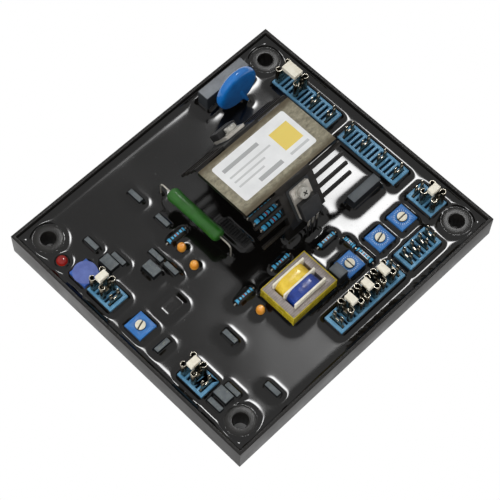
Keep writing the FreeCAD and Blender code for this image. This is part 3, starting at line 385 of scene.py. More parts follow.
def makePool():
    across = int(2 * pool["reachX"] / pool["step"])
    deep = int(2 * pool["reachY"] / pool["step"])
    bpy.ops.mesh.primitive_grid_add(x_subdivisions=across, y_subdivisions=deep, size=2)
    piece = bpy.context.object
    piece.name = "potting_surface"
    mesh = piece.data
    mesh.name = "potting_surface"
    flat = np.zeros(len(mesh.vertices) * 3)
    mesh.vertices.foreach_get("co", flat)
    points = flat.reshape(-1, 3)
    x, y = points[:, 0] * pool["reachX"], points[:, 1] * pool["reachY"]

    def drawnUp(distance, rise, width):  # added as cubes, so that the higher climb wins softly
        return rise * np.exp(-np.maximum(distance, 0) / width)

    total = drawnUp(pool["reachX"] - np.abs(x), pool["wallRise"], pool["wallWidth"]) ** 3
    total += drawnUp(pool["reachY"] - np.abs(y), pool["wallRise"], pool["wallWidth"]) ** 3
    bossGap = np.hypot(np.abs(x) - boss["x"], np.abs(y) - boss["y"])
    total += drawnUp(bossGap - pool["bossRadius"], pool["bossRise"], pool["bossWidth"]) ** 3
    count = 0
    hidden = np.zeros(len(x))
    sinkLow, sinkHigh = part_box("heatsink")
    for low, high in solidsOf("film_resistors"):  # a saddle round each lying body, lower under the heatsink
        centre = [(low[i] + high[i]) / 2 for i in (0, 1)]
        half = [max((high[i] - low[i]) / 2 - film["reach"] - film["lead"], film["cap"]) for i in (0, 1)]
        sides = [np.maximum(np.abs(v - c) - h + film["cap"], 0) for v, c, h in zip((x, y), centre, half)]
        covered = all(sinkLow[i] / mm < centre[i] < sinkHigh[i] / mm for i in (0, 1))
        rise = pool["saddleLow"] if covered else pool["saddle"]
        total += drawnUp(np.hypot(*sides) - film["cap"], rise, pool["saddleWidth"]) ** 3
    for name in nodes:
        if name in dryNodes:
            continue
        for low, high in sectionsOf(name, pool["level"] + pool["cut"]):  # just above the resin's level
            centre = [(low[i] + high[i]) / 2 for i in (0, 1)]
            half = [(high[i] - low[i]) / 2 for i in (0, 1)]
            if max(half) * 2 < pool["leadSize"] or name == "indicator_lamp":
                gap = np.hypot(x - centre[0], y - centre[1]) - max(half)
                rise, width = climbs["indicator" if name == "indicator_lamp" else "lead"]
            else:
                rise, width = next((v for k, v in climbs.items() if name.startswith(k)), climbs["lead"])
                corner = min(pool["corner"], pool["cornerShare"] * min(half))
                sideX = np.abs(x - centre[0]) - half[0] + corner
                sideY = np.abs(y - centre[1]) - half[1] + corner
                gap = np.hypot(np.maximum(sideX, 0), np.maximum(sideY, 0))
                gap += np.minimum(np.maximum(sideX, sideY), 0) - corner
                hidden = np.maximum(hidden, np.clip((-gap - pool["inset"]) / pool["fade"], 0, 1))
            rise *= 1 + pool["uneven"] * math.sin(centre[0] * pool["unevenTurn"] + centre[1])
            total += drawnUp(gap, rise, width) ** 3
            count += 1
    height = pool["level"] + total ** (1 / 3)
    low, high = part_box("covered_capacitor")  # shows as a mound with a sunken top
    middle = [(low[i] + high[i]) / 2 / mm for i in (0, 1)]
    half = [(high[i] - low[i]) / 2 / mm for i in (0, 1)]
    sides = [np.maximum(np.abs(v - c) - h + pool["moundEdge"], 0) for v, c, h in zip((x, y), middle, half)]
    spread = np.hypot(*sides)
    dimple = 1 - pool["dimple"] * np.exp(-(spread / pool["dimpleWidth"]) ** 2)
    mound = pool["mound"] * np.exp(-(spread / pool["moundWidth"]) ** 2) * dimple
    height = np.maximum(height, pool["level"] + mound)
    height -= pool["drop"] * hidden  # nothing pokes up inside a hollow solid
    # two long, low waves that bend what the surface mirrors
    bent = wave["rise"] * np.sin(x / wave["length"] + wave["bend"] * np.sin(y / wave["bendLength"]))
    height += bent + ripple["rise"] * np.sin(y / ripple["lengthY"] - x / ripple["lengthX"])
    points[:, 0], points[:, 1], points[:, 2] = x * mm, y * mm, height * mm
    mesh.vertices.foreach_set("co", points.ravel())
    shape = bmesh.new()
    shape.from_mesh(mesh)
    places = [(face, face.calc_center_median() / mm) for face in shape.faces]
    inside = [face for face, at in places
              if math.hypot(abs(at.x) - boss["x"], abs(at.y) - boss["y"]) < pool["bossOpening"]]
    bmesh.ops.delete(shape, geom=inside, context="FACES")
    bmesh.ops.delete(shape, geom=[v for v in shape.verts if not v.link_faces], context="VERTS")
    for face in shape.faces:
        face.smooth = True
    made = bmesh.ops.extrude_edge_only(shape, edges=[e for e in shape.edges if e.is_boundary])["geom"]
    lower = {v for v in made if isinstance(v, bmesh.types.BMVert)}
    for vert in lower:
        vert.co.z = pool["bottom"] * mm
    rims = [e for e in made if isinstance(e, bmesh.types.BMEdge) and lower.issuperset(e.verts)]
    bmesh.ops.triangle_fill(shape, edges=rims, use_beauty=True)
    bmesh.ops.recalc_face_normals(shape, faces=shape.faces)
    shape.to_mesh(mesh)
    shape.free()
    mesh.update()
    # poured epoxy: black and wet looking, with faint flow marks and a little dust
    material, shader = newMaterial("epoxy resin, poured",
                                   {"Base Color": "#0b0a09", "Roughness": 0.09, "IOR": 1.56})
    flow = noiseOn(material, 22, detail=1.0)
    dust = noiseOn(material, 0.7, detail=1.0)
    specks = stepAt(material, dust, 0.74, 0.8)
    tone = mixColours(material, specks, "#0b0a09", "#2b2a28")
    repaint(material, shader, tone)
    rough = addNode(material, "ShaderNodeMapRange", inputs={"Value": flow, "To Min": 0.06, "To Max": 0.13})
    linkTo(material, (rough, "Result"), shader, "Roughness")
    relief(material, shader, [(flow, 0.05), (specks, 0.004)])
    mesh.materials.append(material)
    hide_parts("potting_resin", "covered_capacitor")
    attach(piece, mainBody)
    print("resin drawn up at", count, "sections,", len(mesh.polygons), "faces")
    # laminate: dull green, hidden under the resin
    board, _, _ = mottled("glass epoxy laminate", ("#4b5a2c", "#5d6c38"), 5, {"Roughness": 0.45})
    dress(["circuit_board"], board)
    dress(["potting_resin", "covered_capacitor"], material)


dressTray()
makePool()


# heatsink and the devices screwed to it

sink = {"top": 41.0, "middleY": 9.35, "halfPlate": 13.95, "black": 0.12, "bare": 0.04,
        "stained": 12.5, "brown": 14.8, "ragged": 4.0, "gloss": 0.36, "dull": 0.2}


def dressHeatsink():
    # anodised: soft black, bare and brushed on the flat top, stained brown towards its long edges
    material, shader, tone = mottled("aluminium, black anodised", ("#141312", "#26221e"), 7,
                                     {"Roughness": 0.38, "Metallic": 0.4})
    place = objectPlace(material)
    onTop = stepAt(material, (place, "Z"),
                   (sink["top"] - sink["black"]) * mm, (sink["top"] - sink["bare"]) * mm)
    offset = addMath(material, "SUBTRACT", (place, "Y"), sink["middleY"] * mm)
    fromMiddle = addMath(material, "ABSOLUTE", offset)
    within = addMath(material, "LESS_THAN", fromMiddle, sink["halfPlate"] * mm)
    brushed = addMath(material, "MULTIPLY", onTop, within)
    brushing = noiseOn(material, 2.4, detail=6.0, roughness=0.7, stretch=(0.7, 1.3, 1))
    stain = noiseOn(material, 9, detail=3.0)
    bare = addRamp(material, brushing, [(0.34, "#777160"), (0.5, "#938d79"), (0.66, "#aaa48f")])
    ragged = addMath(material, "ADD", fromMiddle, addMath(material, "MULTIPLY", stain, sink["ragged"] * mm))
    edge = stepAt(material, ragged, sink["stained"] * mm, sink["brown"] * mm)
    worn = mixColours(material, edge, bare, "#5f5644")
    repaint(material, shader, mixColours(material, brushed, tone, worn))
    rough = addMath(material, "ADD", addMath(material, "MULTIPLY", brushed, sink["dull"]), sink["gloss"])
    linkTo(material, rough, shader, "Roughness")
    relief(material, shader, [(noiseOn(material, 0.4, detail=2.0), 0.004),
                              (addMath(material, "MULTIPLY", brushing, brushed), 0.02)])
    dress(["heatsink"], material)
    soften(["heatsink"], 0.22)


labelFields = [((23.4, 5.6, 33.6, 15.8), "#e3c95c"), ((-2.2, 15.2, 17.5, 17.0), "#a3a4a4"),
               ((-2.2, 11.6, 20.6, 12.5), "#bfc0c0"), ((-2.2, 8.9, 15.0, 9.8), "#bfc0c0"),
               ((-2.2, 6.2, 12.0, 7.1), "#bfc0c0"), ((6.0, 2.2, 19.0, 4.2), "#a3a4a4"),
               ((23.6, 2.4, 34.0, 3.6), "#bfc0c0")]  # corners in mm and ink


def dressLabel():
    # coated paper: clean white with a fine tooth, printed with plain fields
    material, shader, tone = mottled("coated paper, printed", ("#dedfdf", "#e9eaea"), 8, {"Roughness": 0.42},
                                     0.15, 0.004)
    place = objectPlace(material)

    def field(x0, y0, x1, y1):
        wide = addMath(material, "COMPARE", (place, "X"), (x0 + x1) / 2 * mm, (x1 - x0) / 2 * mm)
        high = addMath(material, "COMPARE", (place, "Y"), (y0 + y1) / 2 * mm, (y1 - y0) / 2 * mm)
        return addMath(material, "MULTIPLY", wide, high)

    colour = tone
    for corners, ink in labelFields:
        colour = mixColours(material, field(*corners), colour, ink)
    repaint(material, shader, colour)
    dress(["label"], material)


recess = {"length": 2.6, "width": 0.6, "thick": 0.3, "raised": 0.03, "turns": (35, 125)}


def makeRecessShades():  # painted shade: dark crosses laid on the screws' heads along their own axes, standing for their cross recesses
    # painted shade: dark steel for the shaded bottom of each cross recess
    shade, _ = newMaterial("steel, recess in shade",
                           {"Base Color": "#2b2a27", "Roughness": 0.6, "Metallic": 0.5})
    shape = weldedCopy("device_screws")
    spots = np.array([vert.co for vert in shape.verts])
    shape.free()
    pieces = []
    for side in (-1, 1):
        own = spots[side * (spots[:, 1] - sink["middleY"] * mm) > 0]
        centre = own.mean(axis=0)
        spread, directions = np.linalg.eigh(np.cov((own - centre).T))
        axis = directions[:, 2] if spread[2] - spread[1] > spread[1] - spread[0] else directions[:, 0]
        axis = Vector(axis if axis[2] > 0 else -axis)
        reach = max((Vector(spot) - Vector(centre)).dot(axis) for spot in own)
        top = Vector(centre) + axis * (reach + (recess["raised"] - recess["thick"] / 2) * mm)
        across = Vector((1, 0, 0))
        lie = Matrix((across, axis.cross(across), axis)).transposed().to_4x4()
        for turn in recess["turns"]:
            bpy.ops.mesh.primitive_cube_add(size=mm)
            arm = bpy.context.object
            arm.data.transform(Matrix.Diagonal([recess[k] for k in ("length", "width", "thick")] + [1]))
            arm.data.transform(Matrix.Translation(top) @ lie @ Matrix.Rotation(math.radians(turn), 4, "Z"))
            arm.data.materials.append(shade)
            pieces.append(arm)
    whole = joined("screw_recess_shades", pieces)
    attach(whole, mainBody)


device = {"bare": 22.5, "wetted": 20.5, "metal": 0.6}  # heights in mm between which resin covers the legs


def dressDevices():
    # silicone: matt dark grey rubber
    pad, _, _ = mottled("silicone pad, cut", ("#222426", "#303335"), 3, {"Roughness": 0.62}, 0.5, 0.01)
    dress(["front_insulator", "rear_insulator"], pad)
    # tinned copper: pale grey, half dull, and black where resin has wetted the legs
    metal, shader, tone = mottled("copper frame, tinned", ("#bdb6ac", "#dcd8cf"), 2,
                                  {"Roughness": 0.36, "Metallic": device["metal"]}, 0.5, 0.003)
    place = objectPlace(metal)
    coated = stepAt(metal, (place, "Z"), device["bare"] * mm, device["wetted"] * mm)
    repaint(metal, shader, mixColours(metal, coated, tone, "#0d0c0b"))
    lost = addMath(metal, "MULTIPLY", coated, device["metal"])
    linkTo(metal, addMath(metal, "SUBTRACT", device["metal"], lost), shader, "Metallic")
    dress(["front_device_leads", "rear_device_leads"], metal)
    # moulded epoxy: matt charcoal with a sandy grain
    package, _, _ = mottled("epoxy package, moulded", ("#1b1b1c", "#272728"), 3, {"Roughness": 0.5},
                            0.15, 0.015)
    dress(["front_device_body", "rear_device_body"], package)
    # zinc plating: warm pale grey, softly shining
    screw, _, _ = mottled("steel, zinc plated", ("#b9b6ae", "#d6d3cb"), 1.5,
                          {"Roughness": 0.36, "Metallic": 0.75}, 0.5, 0.003)
    dress(["device_screws", "device_washers"], screw)
    makeRecessShades()
    soften(["front_device_leads", "rear_device_leads"], 0.1)
    soften(["front_device_body", "rear_device_body", "device_screws"], 0.35, 3)
    soften(["device_washers"], 0.1)


dressHeatsink()
dressLabel()
dressDevices()
print("heatsink and devices dressed")


# terminal blocks, blades and links

terminal = {"bare": 13.1, "wetted": 12.1, "ragged": 1.2}  # heights in mm where resin darkens the sides


def dressTerminals():
    names = [n for n in nodes if n.startswith("block_") and not n.endswith("_blades")]
    # moulded nylon: greyish blue, satin, dark where resin has crept up
    block, shader, tone = mottled("terminal nylon, moulded", ("#4c86aa", "#74a8c9"), 5, {"Roughness": 0.38},
                                  0.4, 0.004, (0.3, 0.45))
    place = objectPlace(block)
    uneven = addMath(block, "MULTIPLY", noiseOn(block, 1.6), terminal["ragged"] * mm)
    height = addMath(block, "ADD", (place, "Z"), uneven)
    wetted = stepAt(block, height, terminal["bare"] * mm, terminal["wetted"] * mm)
    repaint(block, shader, mixColours(block, wetted, tone, "#12283b"))
    dress(names, block)
    soften(names, 0.22)
    # tinned brass: painted highlight on the faces that look up, and painted shade darkening the walls
    metal, shader, tone = mottled("brass, tinned and stamped", ("#cfc8b6", "#ebe5d6"), 1.2,
                                  {"Roughness": 0.24, "Metallic": 1.0}, 0.4, 0.003, (0.18, 0.34))
    # painted light: the walls take a darker metal colour, the faces that look up keep the bright one
    repaint(metal, shader, mixColours(metal, facingUp(metal), "#857d6c", tone))
    blades = [n for n in nodes if n.endswith("_blades")]
    dress(blades + ["link_contacts"], metal)
    soften(blades, 0.09)
    soften(["link_contacts"], 0.08)
    # natural nylon: warm white, satin
    sleeve, _, _ = mottled("sleeve nylon, natural", ("#e6dfcb", "#f3eede"), 3, {"Roughness": 0.42},
                           0.4, 0.004)
    dress(["link_sleeves"], sleeve)
    soften(["link_sleeves"], 0.45, 3)


# trimmers: a dial of fine marks round the rotor of three, a sticker over the sealed one

dial = {"inner": 3.05, "outer": 3.6, "marks": 24, "share": 0.2, "shadeStart": 12.9, "shadeFull": 12.7}


def dressTrimmers():
    for k in (1, 2, 3, 4):
        low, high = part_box(f"trimmer_{k}_rotor")
        middle = [(low[i] + high[i]) / 2 for i in (0, 1)]
        # moulded housing: clear mid blue, satin
        material, shader, tone = mottled(f"trimmer housing {k}, moulded", ("#2765ab", "#3a7cc0"), 3,
                                         {"Roughness": 0.36}, 0.4, 0.004, (0.28, 0.42))
        if k < 4:
            place = objectPlace(material)
            sideX = addMath(material, "SUBTRACT", (place, "X"), middle[0])
            sideY = addMath(material, "SUBTRACT", (place, "Y"), middle[1])
            squares = [addMath(material, "MULTIPLY", side, side) for side in (sideX, sideY)]
            away = addMath(material, "SQRT", addMath(material, "ADD", *squares))
            turn = addMath(material, "ARCTAN2", sideY, sideX)
            turns = addMath(material, "MULTIPLY", turn, dial["marks"] / (2 * math.pi))
            saw = addMath(material, "FRACT", turns)
            mark = addMath(material, "LESS_THAN", saw, dial["share"])
            band = addMath(material, "COMPARE", away, (dial["inner"] + dial["outer"]) / 2 * mm,
                           (dial["outer"] - dial["inner"]) / 2 * mm)
            printed = addMath(material, "MULTIPLY", mark, band)
            shown = addMath(material, "MULTIPLY", printed, facingUp(material))
            repaint(material, shader, mixColours(material, shown, tone, "#c9dbee"))
        dress([f"trimmer_{k}_body"], material)
    # the sealed housing is an older, more violet blue
    plain, _, _ = mottled("trimmer housing, sealed", ("#2a4f9c", "#3d66b4"), 3, {"Roughness": 0.4}, 0.2, 0.01)
    dress(["sealed_trimmer_body"], plain)
    # foil: slightly creased, violet blue, with a soft shine
    sticker, _, _ = mottled("foil sticker", ("#45579a", "#5a6db2"), 3, {"Roughness": 0.3}, 0.6, 0.02)
    dress(["seal_sticker"], sticker)
    # natural nylon: creamy, with painted shade darkening the slot
    rotor, shader, tone = mottled("rotor nylon, natural", ("#ddd6bd", "#efe9d7"), 2, {"Roughness": 0.4},
                                  0.2, 0.01)
    place = objectPlace(rotor)
    # painted shade: the rotor darkens below the slot's rim
    deep = stepAt(rotor, (place, "Z"), dial["shadeStart"] * mm, dial["shadeFull"] * mm)
    repaint(rotor, shader, mixColours(rotor, deep, tone, "#3b372c"))
    rotors = [n for n in nodes if n.endswith("_rotor")]
    dress(rotors, rotor)
    bodies = [n for n in nodes if n.startswith("trimmer_") and n.endswith("_body")]
    soften(bodies + ["sealed_trimmer_body"], 0.25)
    soften(rotors, 0.12)


dressTerminals()
dressTrimmers()
print("terminals and trimmers dressed")


# box capacitors

def dressCapacitors():
    # printed case: grey with a speckled top, and walls painted near black as painted shade
    grey, shader, tone = mottled("capacitor case, printed top", ("#4d5356", "#636a6d"), 2.5,
                                 {"Roughness": 0.45}, 0.4, 0.01)
    speck = stepAt(grey, noiseOn(grey, 0.9, detail=3.0), 0.6, 0.68)
    top = mixColours(grey, addMath(grey, "MULTIPLY", speck, 0.5), tone, "#8b8d7e")
    # painted shade: walls near black by facing, the top keeps the lit grey
    repaint(grey, shader, mixColours(grey, facingUp(grey), "#17191b", top))
    dress(["small_capacitors", "medium_capacitors"], grey)
    # moulded case: slate grey, satin, with painted shade darkening its walls
    black, shader, tone = mottled("capacitor case, moulded", ("#3b4145", "#4b5155"), 5, {"Roughness": 0.36},
                                  0.5, 0.006, (0.3, 0.46))
    # painted shade: walls darker than the top, by facing
    repaint(black, shader, mixColours(black, facingUp(black), "#222427", tone))
    dress(["long_film_capacitor", "square_film_capacitor"], black)
    # faded case: the same, a paler and duller grey, with painted shade darkening its walls
    worn, shader, tone = mottled("capacitor case, faded", ("#727579", "#868a8d"), 6, {"Roughness": 0.45},
                                 0.5, 0.006)
    # painted shade: walls darker than the top, by facing
    repaint(worn, shader, mixColours(worn, facingUp(worn), "#303336", tone))
    dress(["large_film_capacitor"], worn)
    # dipped coating: black and glossy, slightly lumpy
    network, _, _ = mottled("network coating, dipped", ("#141414", "#222222"), 2, {"Roughness": 0.25},
                            0.8, 0.03)
    dress(["resistor_network"], network)
    soften(["small_capacitors", "medium_capacitors", "long_film_capacitor", "square_film_capacitor"], 0.3, 3)
    soften(["large_film_capacitor"], 0.5, 3)
    soften(["resistor_network"], 0.3, 3)


# dipped and turned components

# tinned wire: pale grey with a silvery shine
tin, _, _ = mottled("copper wire, tinned", ("#c6c0b2", "#e6e2d8"), 1.2, {"Roughness": 0.3, "Metallic": 0.75})
filmBands = [(0.0, "#3f9cc8"), (0.14, "#1d2a33"), (0.22, "#4aa8d2"), (0.32, "#1b1c20"), (0.39, "#4aa8d2"),
             (0.48, "#8c2a22"), (0.55, "#4aa8d2"), (0.64, "#2a1f1c"), (0.71, "#4aa8d2"), (0.82, "#35302c"),
             (0.88, "#3f9cc8")]  # share of the body's length at which each band starts


def makeFilmResistors():
    # lacquer: light blue under a glossy coat, painted with plain bands
    lacquer, shader = newMaterial("resistor lacquer, banded", {"Roughness": 0.22, "Coat Weight": 0.4})
    share = addNode(lacquer, "ShaderNodeAttribute", {"attribute_name": "along"})
    repaint(lacquer, shader, addRamp(lacquer, (share, "Fac"), filmBands, "CONSTANT"))
    relief(lacquer, shader, [(noiseOn(lacquer, 0.8), 0.02)])
    pieces = []
    for low, high in solidsOf("film_resistors"):
        span = [high[i] - low[i] for i in (0, 1)]
        alongX = span[0] > span[1]
        half = max(span) / 2 - film["lead"]
        length = 2 * (half - film["reach"])
        middle = [(low[i] + high[i]) / 2 for i in (0, 1)]
        cap, waist, end = film["cap"], film["waist"], length / 2
        ending = [(0, end), (film["end"], end), (cap * film["dome"], end - film["domeRun"]),
                  (cap, end - film["shoulder"]), (cap, end - film["belt"]), (waist, end - film["neck"])]
        profile = eased([(r, -h) for r, h in ending] + [(waist, 0)] + ending[::-1])
        lie = Matrix.Rotation(math.pi / 2, 4, "Y") if alongX else Matrix.Rotation(-math.pi / 2, 4, "X")
        where = Matrix.Translation(Vector((middle[0], middle[1], film["lift"])) * mm)
        pieces.append(turned("resistor_body", profile, lacquer, where @ lie, 24, (-end, end)))
        for side in (-1, 1):
            run = [(end - film["inside"], 0), (half - film["bend"], 0), (half, 0), (half, -film["bend"]),
                   (half, film["foot"] - film["lift"])]
            route = [(middle[0] + side * a * alongX, middle[1] + side * a * (not alongX), film["lift"] + h)
                     for a, h in run]
            pieces.append(bentLead("resistor_lead", route, film["lead"] * film["thin"], tin))
    whole = joined("film_resistors_lacquered", pieces)
    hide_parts("film_resistors")
    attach(whole, mainBody)
    dress(["film_resistors"], lacquer)


bead = {"radius": 1.95, "low": 10.7, "high": 15.05, "pitch": 1.27, "foot": 9.6, "bottom": 0.55, "belly": 1.1,
        "shoulder": 1.5, "crown": 0.72, "legStart": 0.75, "legRadius": 0.33, "legInside": 0.9, "legBend": 0.3}


def makeBeads():
    # dipped bead: warm orange, glossy, lightly dimpled
    dip, _, _ = mottled("tantalum dip, orange", ("#dc8822", "#f4ae48"), 2.2,
                        {"Roughness": 0.2, "Coat Weight": 0.5}, 0.6, 0.02)
    pieces = []
    for low, high in solidsOf("bead_capacitors"):
        middle = [(low[i] + high[i]) / 2 for i in (0, 1)]
        where = Matrix.Translation(Vector((middle[0], middle[1], 0)) * mm)
        r, a, b = bead["radius"], bead["low"], bead["high"]
        profile = eased([(0, a), (r * bead["bottom"], a), (r, a + bead["belly"]), (r, b - bead["shoulder"]),
                         (r * bead["crown"], b), (0, b)], 3)
        pieces.append(turned("bead", profile, dip, where))
        for side in (-1, 1):
            x = middle[0] + side * bead["pitch"] * bead["legStart"]
            route = [(x, middle[1], a + bead["legInside"]), (x, middle[1], a - bead["legBend"]),
                     (middle[0] + side * bead["pitch"], middle[1], bead["foot"])]
            pieces.append(bentLead("bead_leg", route, bead["legRadius"], tin))
    whole = joined("bead_capacitors_dipped", pieces)
    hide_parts("bead_capacitors")
    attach(whole, mainBody)
    dress(["bead_capacitors"], dip)


dome = {"profile": [(0, 9.2), (2.5, 9.2), (2.5, 11.2), (2.3, 12.3), (1.5, 13.05), (0.6, 13.19), (0, 13.19)],
        "dark": 12.2, "glowing": 10.4, "steps": 40}


def makeLamp():
    low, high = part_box("indicator_lamp")
    middle = [(low[i] + high[i]) / 2 / mm for i in (0, 1)]
    # tinted epoxy: deep red and glassy, with a faint painted glow, and a painted lighter red towards its foot
    lens, shader, tone = mottled("lamp lens, tinted epoxy", ("#6f0c0a", "#951510"), 3,
                                 {"Roughness": 0.08, "Coat Weight": 0.3,
                                  "Emission Color": "#c2260c", "Emission Strength": 0.06})
    # painted glow: lighter red below the dome
    glow = stepAt(lens, (objectPlace(lens), "Z"), dome["dark"] * mm, dome["glowing"] * mm)
    repaint(lens, shader, mixColours(lens, glow, tone, "#c63a12"))
    piece = turned("indicator_dome", eased(dome["profile"], 3), lens,
                   Matrix.Translation(Vector((middle[0], middle[1], 0)) * mm), dome["steps"])
    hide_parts("indicator_lamp")
    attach(piece, mainBody)
    dress(["indicator_lamp"], lens)


cement = {"tip": 1.2, "dome": 0.1, "skin": 0.05, "waist": 0.3, "round": 0.9, "shoulder": 1.3, "belt": 3.4,
          "neck": 5, "steps": 48}


def makePowerResistor():
    low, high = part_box("power_resistor_body")
    middle = [(low[i] + high[i]) / 2 / mm for i in range(3)]
    end, r = (high[1] - low[1]) / 2 / mm, (high[0] - low[0]) / 2 / mm
    # baked cement: leaf green, uneven, with a thin gloss
    lacquer, _, _ = mottled("silicone cement, green", ("#225518", "#2c6722"), 5,
                            {"Roughness": 0.3, "Coat Weight": 0.2}, 1.2, 0.04, (0.28, 0.42))
    c = cement
    half = [(0, end), (c["tip"], end), (r - c["round"], end - c["dome"]),
            (r - c["skin"], end - c["shoulder"]), (r - c["skin"], end - c["belt"]),
            (r - c["waist"], end - c["neck"])]
    profile = eased([(radius, -height) for radius, height in half] + half[::-1])
    where = Matrix.Translation(Vector(middle) * mm) @ Matrix.Rotation(-math.pi / 2, 4, "X")
    piece = turned("power_resistor_cement", profile, lacquer, where, c["steps"])
    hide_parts("power_resistor_body")
    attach(piece, mainBody)
    dress(["power_resistor_body"], lacquer)
    dress(["power_resistor_leads", "varistor_leads"], tin)
    soften(["power_resistor_leads", "varistor_leads"], 0.02, 1)


varistor = {"x": 38.5, "y": 49.4, "z": 23.6, "radius": 10.88, "half": 2.28, "rim": 1.1, "flat": 0.62,
            "aside": 4.9, "out": 1.9, "drop": 12.0, "top": 1.3, "tip": 0.66, "steps": 96, "voxel": 0.3,
            "shoulder": 0.93, "edge": 0.45, "taperStart": 0.2, "taperFrom": 0.4, "taperEnd": 0.3,
            "smoothing": 0.5, "rounds": 6}


def makeVaristor():
    v = varistor
    # dipped epoxy: strong sky blue, glossy, lightly dimpled
    dip, _, _ = mottled("varistor coating, dipped", ("#0f66b3", "#1b79cb"), 6,
                        {"Roughness": 0.2, "Coat Weight": 0.5}, 1.4, 0.06, (0.16, 0.28))
    r, h = v["radius"], v["half"]
    half = [(0, h), (r * v["flat"], h), (r - v["rim"], h * v["shoulder"]), (r, h * v["edge"])]
    profile = eased([(radius, -height) for radius, height in half] + half[::-1], 3)
    centre = Vector((v["x"], v["y"], v["z"]))
    upright = Matrix.Translation(centre * mm) @ Matrix.Rotation(-math.pi / 2, 4, "X")
    pieces = [turned("disc", profile, dip, upright, v["steps"])]
    for side in (-1, 1):  # a ridge down each face, over the lead
        run = Vector((-side * v["aside"], side * v["out"], -v["drop"]))
        start = centre + Vector((0, side * (h - v["top"]), 0))
        taper = eased([(0, 0), (v["top"], v["taperStart"]), (v["top"], run.length * v["taperFrom"]),
                       (v["tip"], run.length - v["taperEnd"]), (0, run.length)])
        lie = run.to_track_quat("Z", "Y").to_matrix().to_4x4()
        pieces.append(turned("ridge", taper, dip, Matrix.Translation(start * mm) @ lie, 24))
    whole = joined("varistor_dipped", pieces)
    remesh = whole.modifiers.new("skin", "REMESH")
    remesh.mode = "VOXEL"
    remesh.voxel_size = v["voxel"] * mm
    smooth = whole.modifiers.new("smooth", "SMOOTH")
    smooth.factor = v["smoothing"]
    smooth.iterations = v["rounds"]
    for name in ("skin", "smooth"):
        bpy.ops.object.modifier_apply(modifier=name)
    whole.data.polygons.foreach_set("use_smooth", [True] * len(whole.data.polygons))
    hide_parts("varistor")
    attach(whole, mainBody)
    dress(["varistor"], dip)


dressCapacitors()
makeFilmResistors()
makeBeads()
makeLamp()
makePowerResistor()
makeVaristor()
print("components made")


# transformer: stacked laminations in a taped band, nylon bobbin, taped windings

leaf = {"thick": 1.0, "wander": 0.6, "shade": 0.28, "depth": 0.04}  # a real one is 0.5 mm, too fine to show


def dressTransformer():
    # stacked steel: warm grey, ruled with fine dark seams
    core, shader, tone = mottled("silicon steel, stacked", ("#958c88", "#aea5a1"), 3,
                                 {"Roughness": 0.45, "Metallic": 0.4}, 0.5, 0.004)
    leaves = addNode(core, "ShaderNodeTexWave", {"bands_direction": "Y"},
                     {"Vector": (addNode(core, "ShaderNodeTexCoord"), "Object"),
                      "Scale": 2 * math.pi / (20 * leaf["thick"] * mm), "Distortion": leaf["wander"],
                      "Detail Scale": 2.0})
    seams = addMath(core, "MULTIPLY", (leaves, "Fac"), leaf["shade"])
    repaint(core, shader, mixColours(core, seams, tone, "#5b534d"))
    relief(core, shader, [((leaves, "Fac"), leaf["depth"])])
    dress(["transformer_core"], core)
    # polyester tape: olive yellow film over dark metal, glossy, a little wrinkled
    band, _, _ = mottled("polyester tape, yellow", ("#a8941a", "#cbb730"), 4,
                         {"Roughness": 0.24, "Coat Weight": 0.3}, 1.5, 0.05, (0.18, 0.34))
    dress(["transformer_band"], band)
    # natural nylon: cream, satin
    nylon, _, _ = mottled("bobbin nylon, natural", ("#e6dfca", "#f5f0e0"), 3, {"Roughness": 0.42})
    dress(["transformer_bobbin"], nylon)
    for name, tones, label in (("yellow_winding", ("#dab426", "#f2d349"), "winding tape, yellow"),
                               ("blue_winding", ("#102870", "#1f429b"), "winding tape, blue")):
        # winding tape: bright and glossy, drawn over wires so that it bulges slightly
        tape, _, _ = mottled(label, tones, 3, {"Roughness": 0.22, "Coat Weight": 0.4}, 2.0, 0.08, (0.16, 0.3))
        dress([name], tape)
        soften([name], 0.3, 3)
    soften(["transformer_core"], 0.15)
    soften(["transformer_bobbin", "transformer_band"], 0.18)


dressTransformer()
print("transformer dressed")


# floor and light: pale paper, a soft lamp at the side, and overhead diffusers that fade out into a grey room

lamps = {"side": {"place": (-0.9, -0.2, 0.9), "width": 1.4, "depth": 1.4, "power": 11.5}}
room = {"horizon": 0.14, "middle": 0.5, "zenith": 0.52}
diffusers = [{"towards": (297, 191, 605), "full": 1.4, "gone": 5.4, "strength": 22.0},
             {"towards": (224, 162, 605), "full": 0.0, "gone": 4.2, "strength": 1.6}]  # angles in degrees
paper = {"size": 3.0, "below": 0.0001, "grey": 0.85, "shadeX": 0.0735, "shadeY": 0.066}  # metres


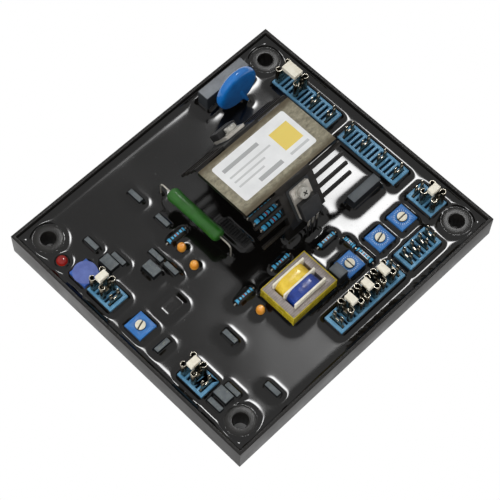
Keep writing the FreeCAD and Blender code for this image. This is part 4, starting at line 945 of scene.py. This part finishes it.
def makeStage():
    bpy.ops.mesh.primitive_plane_add(size=paper["size"], location=(0, 0, -paper["below"]))
    floor = bpy.context.object
    floor.name = "floor"
    # matt paper: lit as paper is, but plain white to the camera and in reflections
    grey = (paper["grey"], paper["grey"], paper["grey"], 1)
    material, shader = newMaterial("white paper floor", {"Base Color": grey, "Roughness": 0.9})
    seen = addNode(material, "ShaderNodeLightPath")
    bright = addNode(material, "ShaderNodeEmission", inputs={"Color": (1, 1, 1, 1), "Strength": 1.0})
    mirrored = addMath(material, "MAXIMUM", (seen, "Is Camera Ray"), (seen, "Is Glossy Ray"))
    direct = addMath(material, "MAXIMUM", mirrored, (seen, "Is Transmission Ray"))
    place = objectPlace(material)
    under = [addMath(material, "COMPARE", (place, axis), 0.0, paper["shade" + axis]) for axis in "XY"]
    covered = addMath(material, "MULTIPLY", *under)  # in shade where the tray stands
    clear = addMath(material, "SUBTRACT", 1.0, covered)
    chosen = addNode(material, "ShaderNodeMixShader", inputs={0: addMath(material, "MULTIPLY", direct, clear),
                                                              1: (shader, "BSDF"), 2: (bright, "Emission")})
    output = next(n for n in material.node_tree.nodes if n.type == "OUTPUT_MATERIAL")
    linkTo(material, (chosen, "Shader"), output, "Surface")
    floor.data.materials.append(material)
    for name, settings in lamps.items():
        lamp = bpy.data.lights.new(name, "AREA")
        lamp.shape = "RECTANGLE"
        lamp.size, lamp.size_y = settings["width"], settings["depth"]
        lamp.energy = settings["power"]
        holder = bpy.data.objects.new(name, lamp)
        bpy.context.scene.collection.objects.link(holder)
        holder.location = settings["place"]
        holder.visible_glossy = False  # the black resin mirrors the dark end of the room here
        holder.rotation_mode = "QUATERNION"
        holder.rotation_quaternion = (-Vector(settings["place"])).to_track_quat("-Z", "Y")
    world = bpy.data.worlds.new("room")  # grey room and diffusers for the light, white for the camera
    bpy.context.scene.world = world
    world.use_nodes = True
    tree = world.node_tree
    where = tree.nodes.new("ShaderNodeTexCoord")
    split = tree.nodes.new("ShaderNodeSeparateXYZ")
    ramp = tree.nodes.new("ShaderNodeValToRGB")
    tree.links.new(where.outputs["Generated"], split.inputs["Vector"])
    tree.links.new(split.outputs["Z"], ramp.inputs["Fac"])
    light = ramp.outputs["Color"]
    for diffuser in diffusers:
        facing = tree.nodes.new("ShaderNodeVectorMath")
        facing.operation = "DOT_PRODUCT"
        tree.links.new(where.outputs["Generated"], facing.inputs[0])
        facing.inputs[1].default_value = Vector(diffuser["towards"]).normalized()
        fade = tree.nodes.new("ShaderNodeMapRange")
        fade.interpolation_type = "SMOOTHSTEP"
        tree.links.new(facing.outputs["Value"], fade.inputs["Value"])
        fade.inputs["From Min"].default_value = math.cos(math.radians(diffuser["gone"]))
        fade.inputs["From Max"].default_value = math.cos(math.radians(diffuser["full"]))
        fade.inputs["To Max"].default_value = diffuser["strength"]
        added = tree.nodes.new("ShaderNodeVectorMath")
        tree.links.new(light, added.inputs[0])
        tree.links.new(fade.outputs["Result"], added.inputs[1])
        light = added.outputs["Vector"]
    path = tree.nodes.new("ShaderNodeLightPath")
    shown = tree.nodes.new("ShaderNodeMix")
    shown.data_type = "RGBA"
    tree.links.new(path.outputs["Is Camera Ray"], shown.inputs[0])
    tree.links.new(light, shown.inputs[6])
    shown.inputs[7].default_value = (1, 1, 1, 1)
    tree.links.new(shown.outputs[2], tree.nodes["Background"].inputs["Color"])
    ramp.color_ramp.elements.new(0.5)
    stops = ((0.0, "horizon"), (0.45, "middle"), (1.0, "zenith"))
    for element, (position, level) in zip(ramp.color_ramp.elements, stops):
        element.position = position
        element.color = (room[level], room[level], room[level], 1)
    tree.nodes["Background"].inputs["Strength"].default_value = 1.0


makeStage()
bpy.context.scene.view_settings.view_transform = "Standard"
print("stage set")
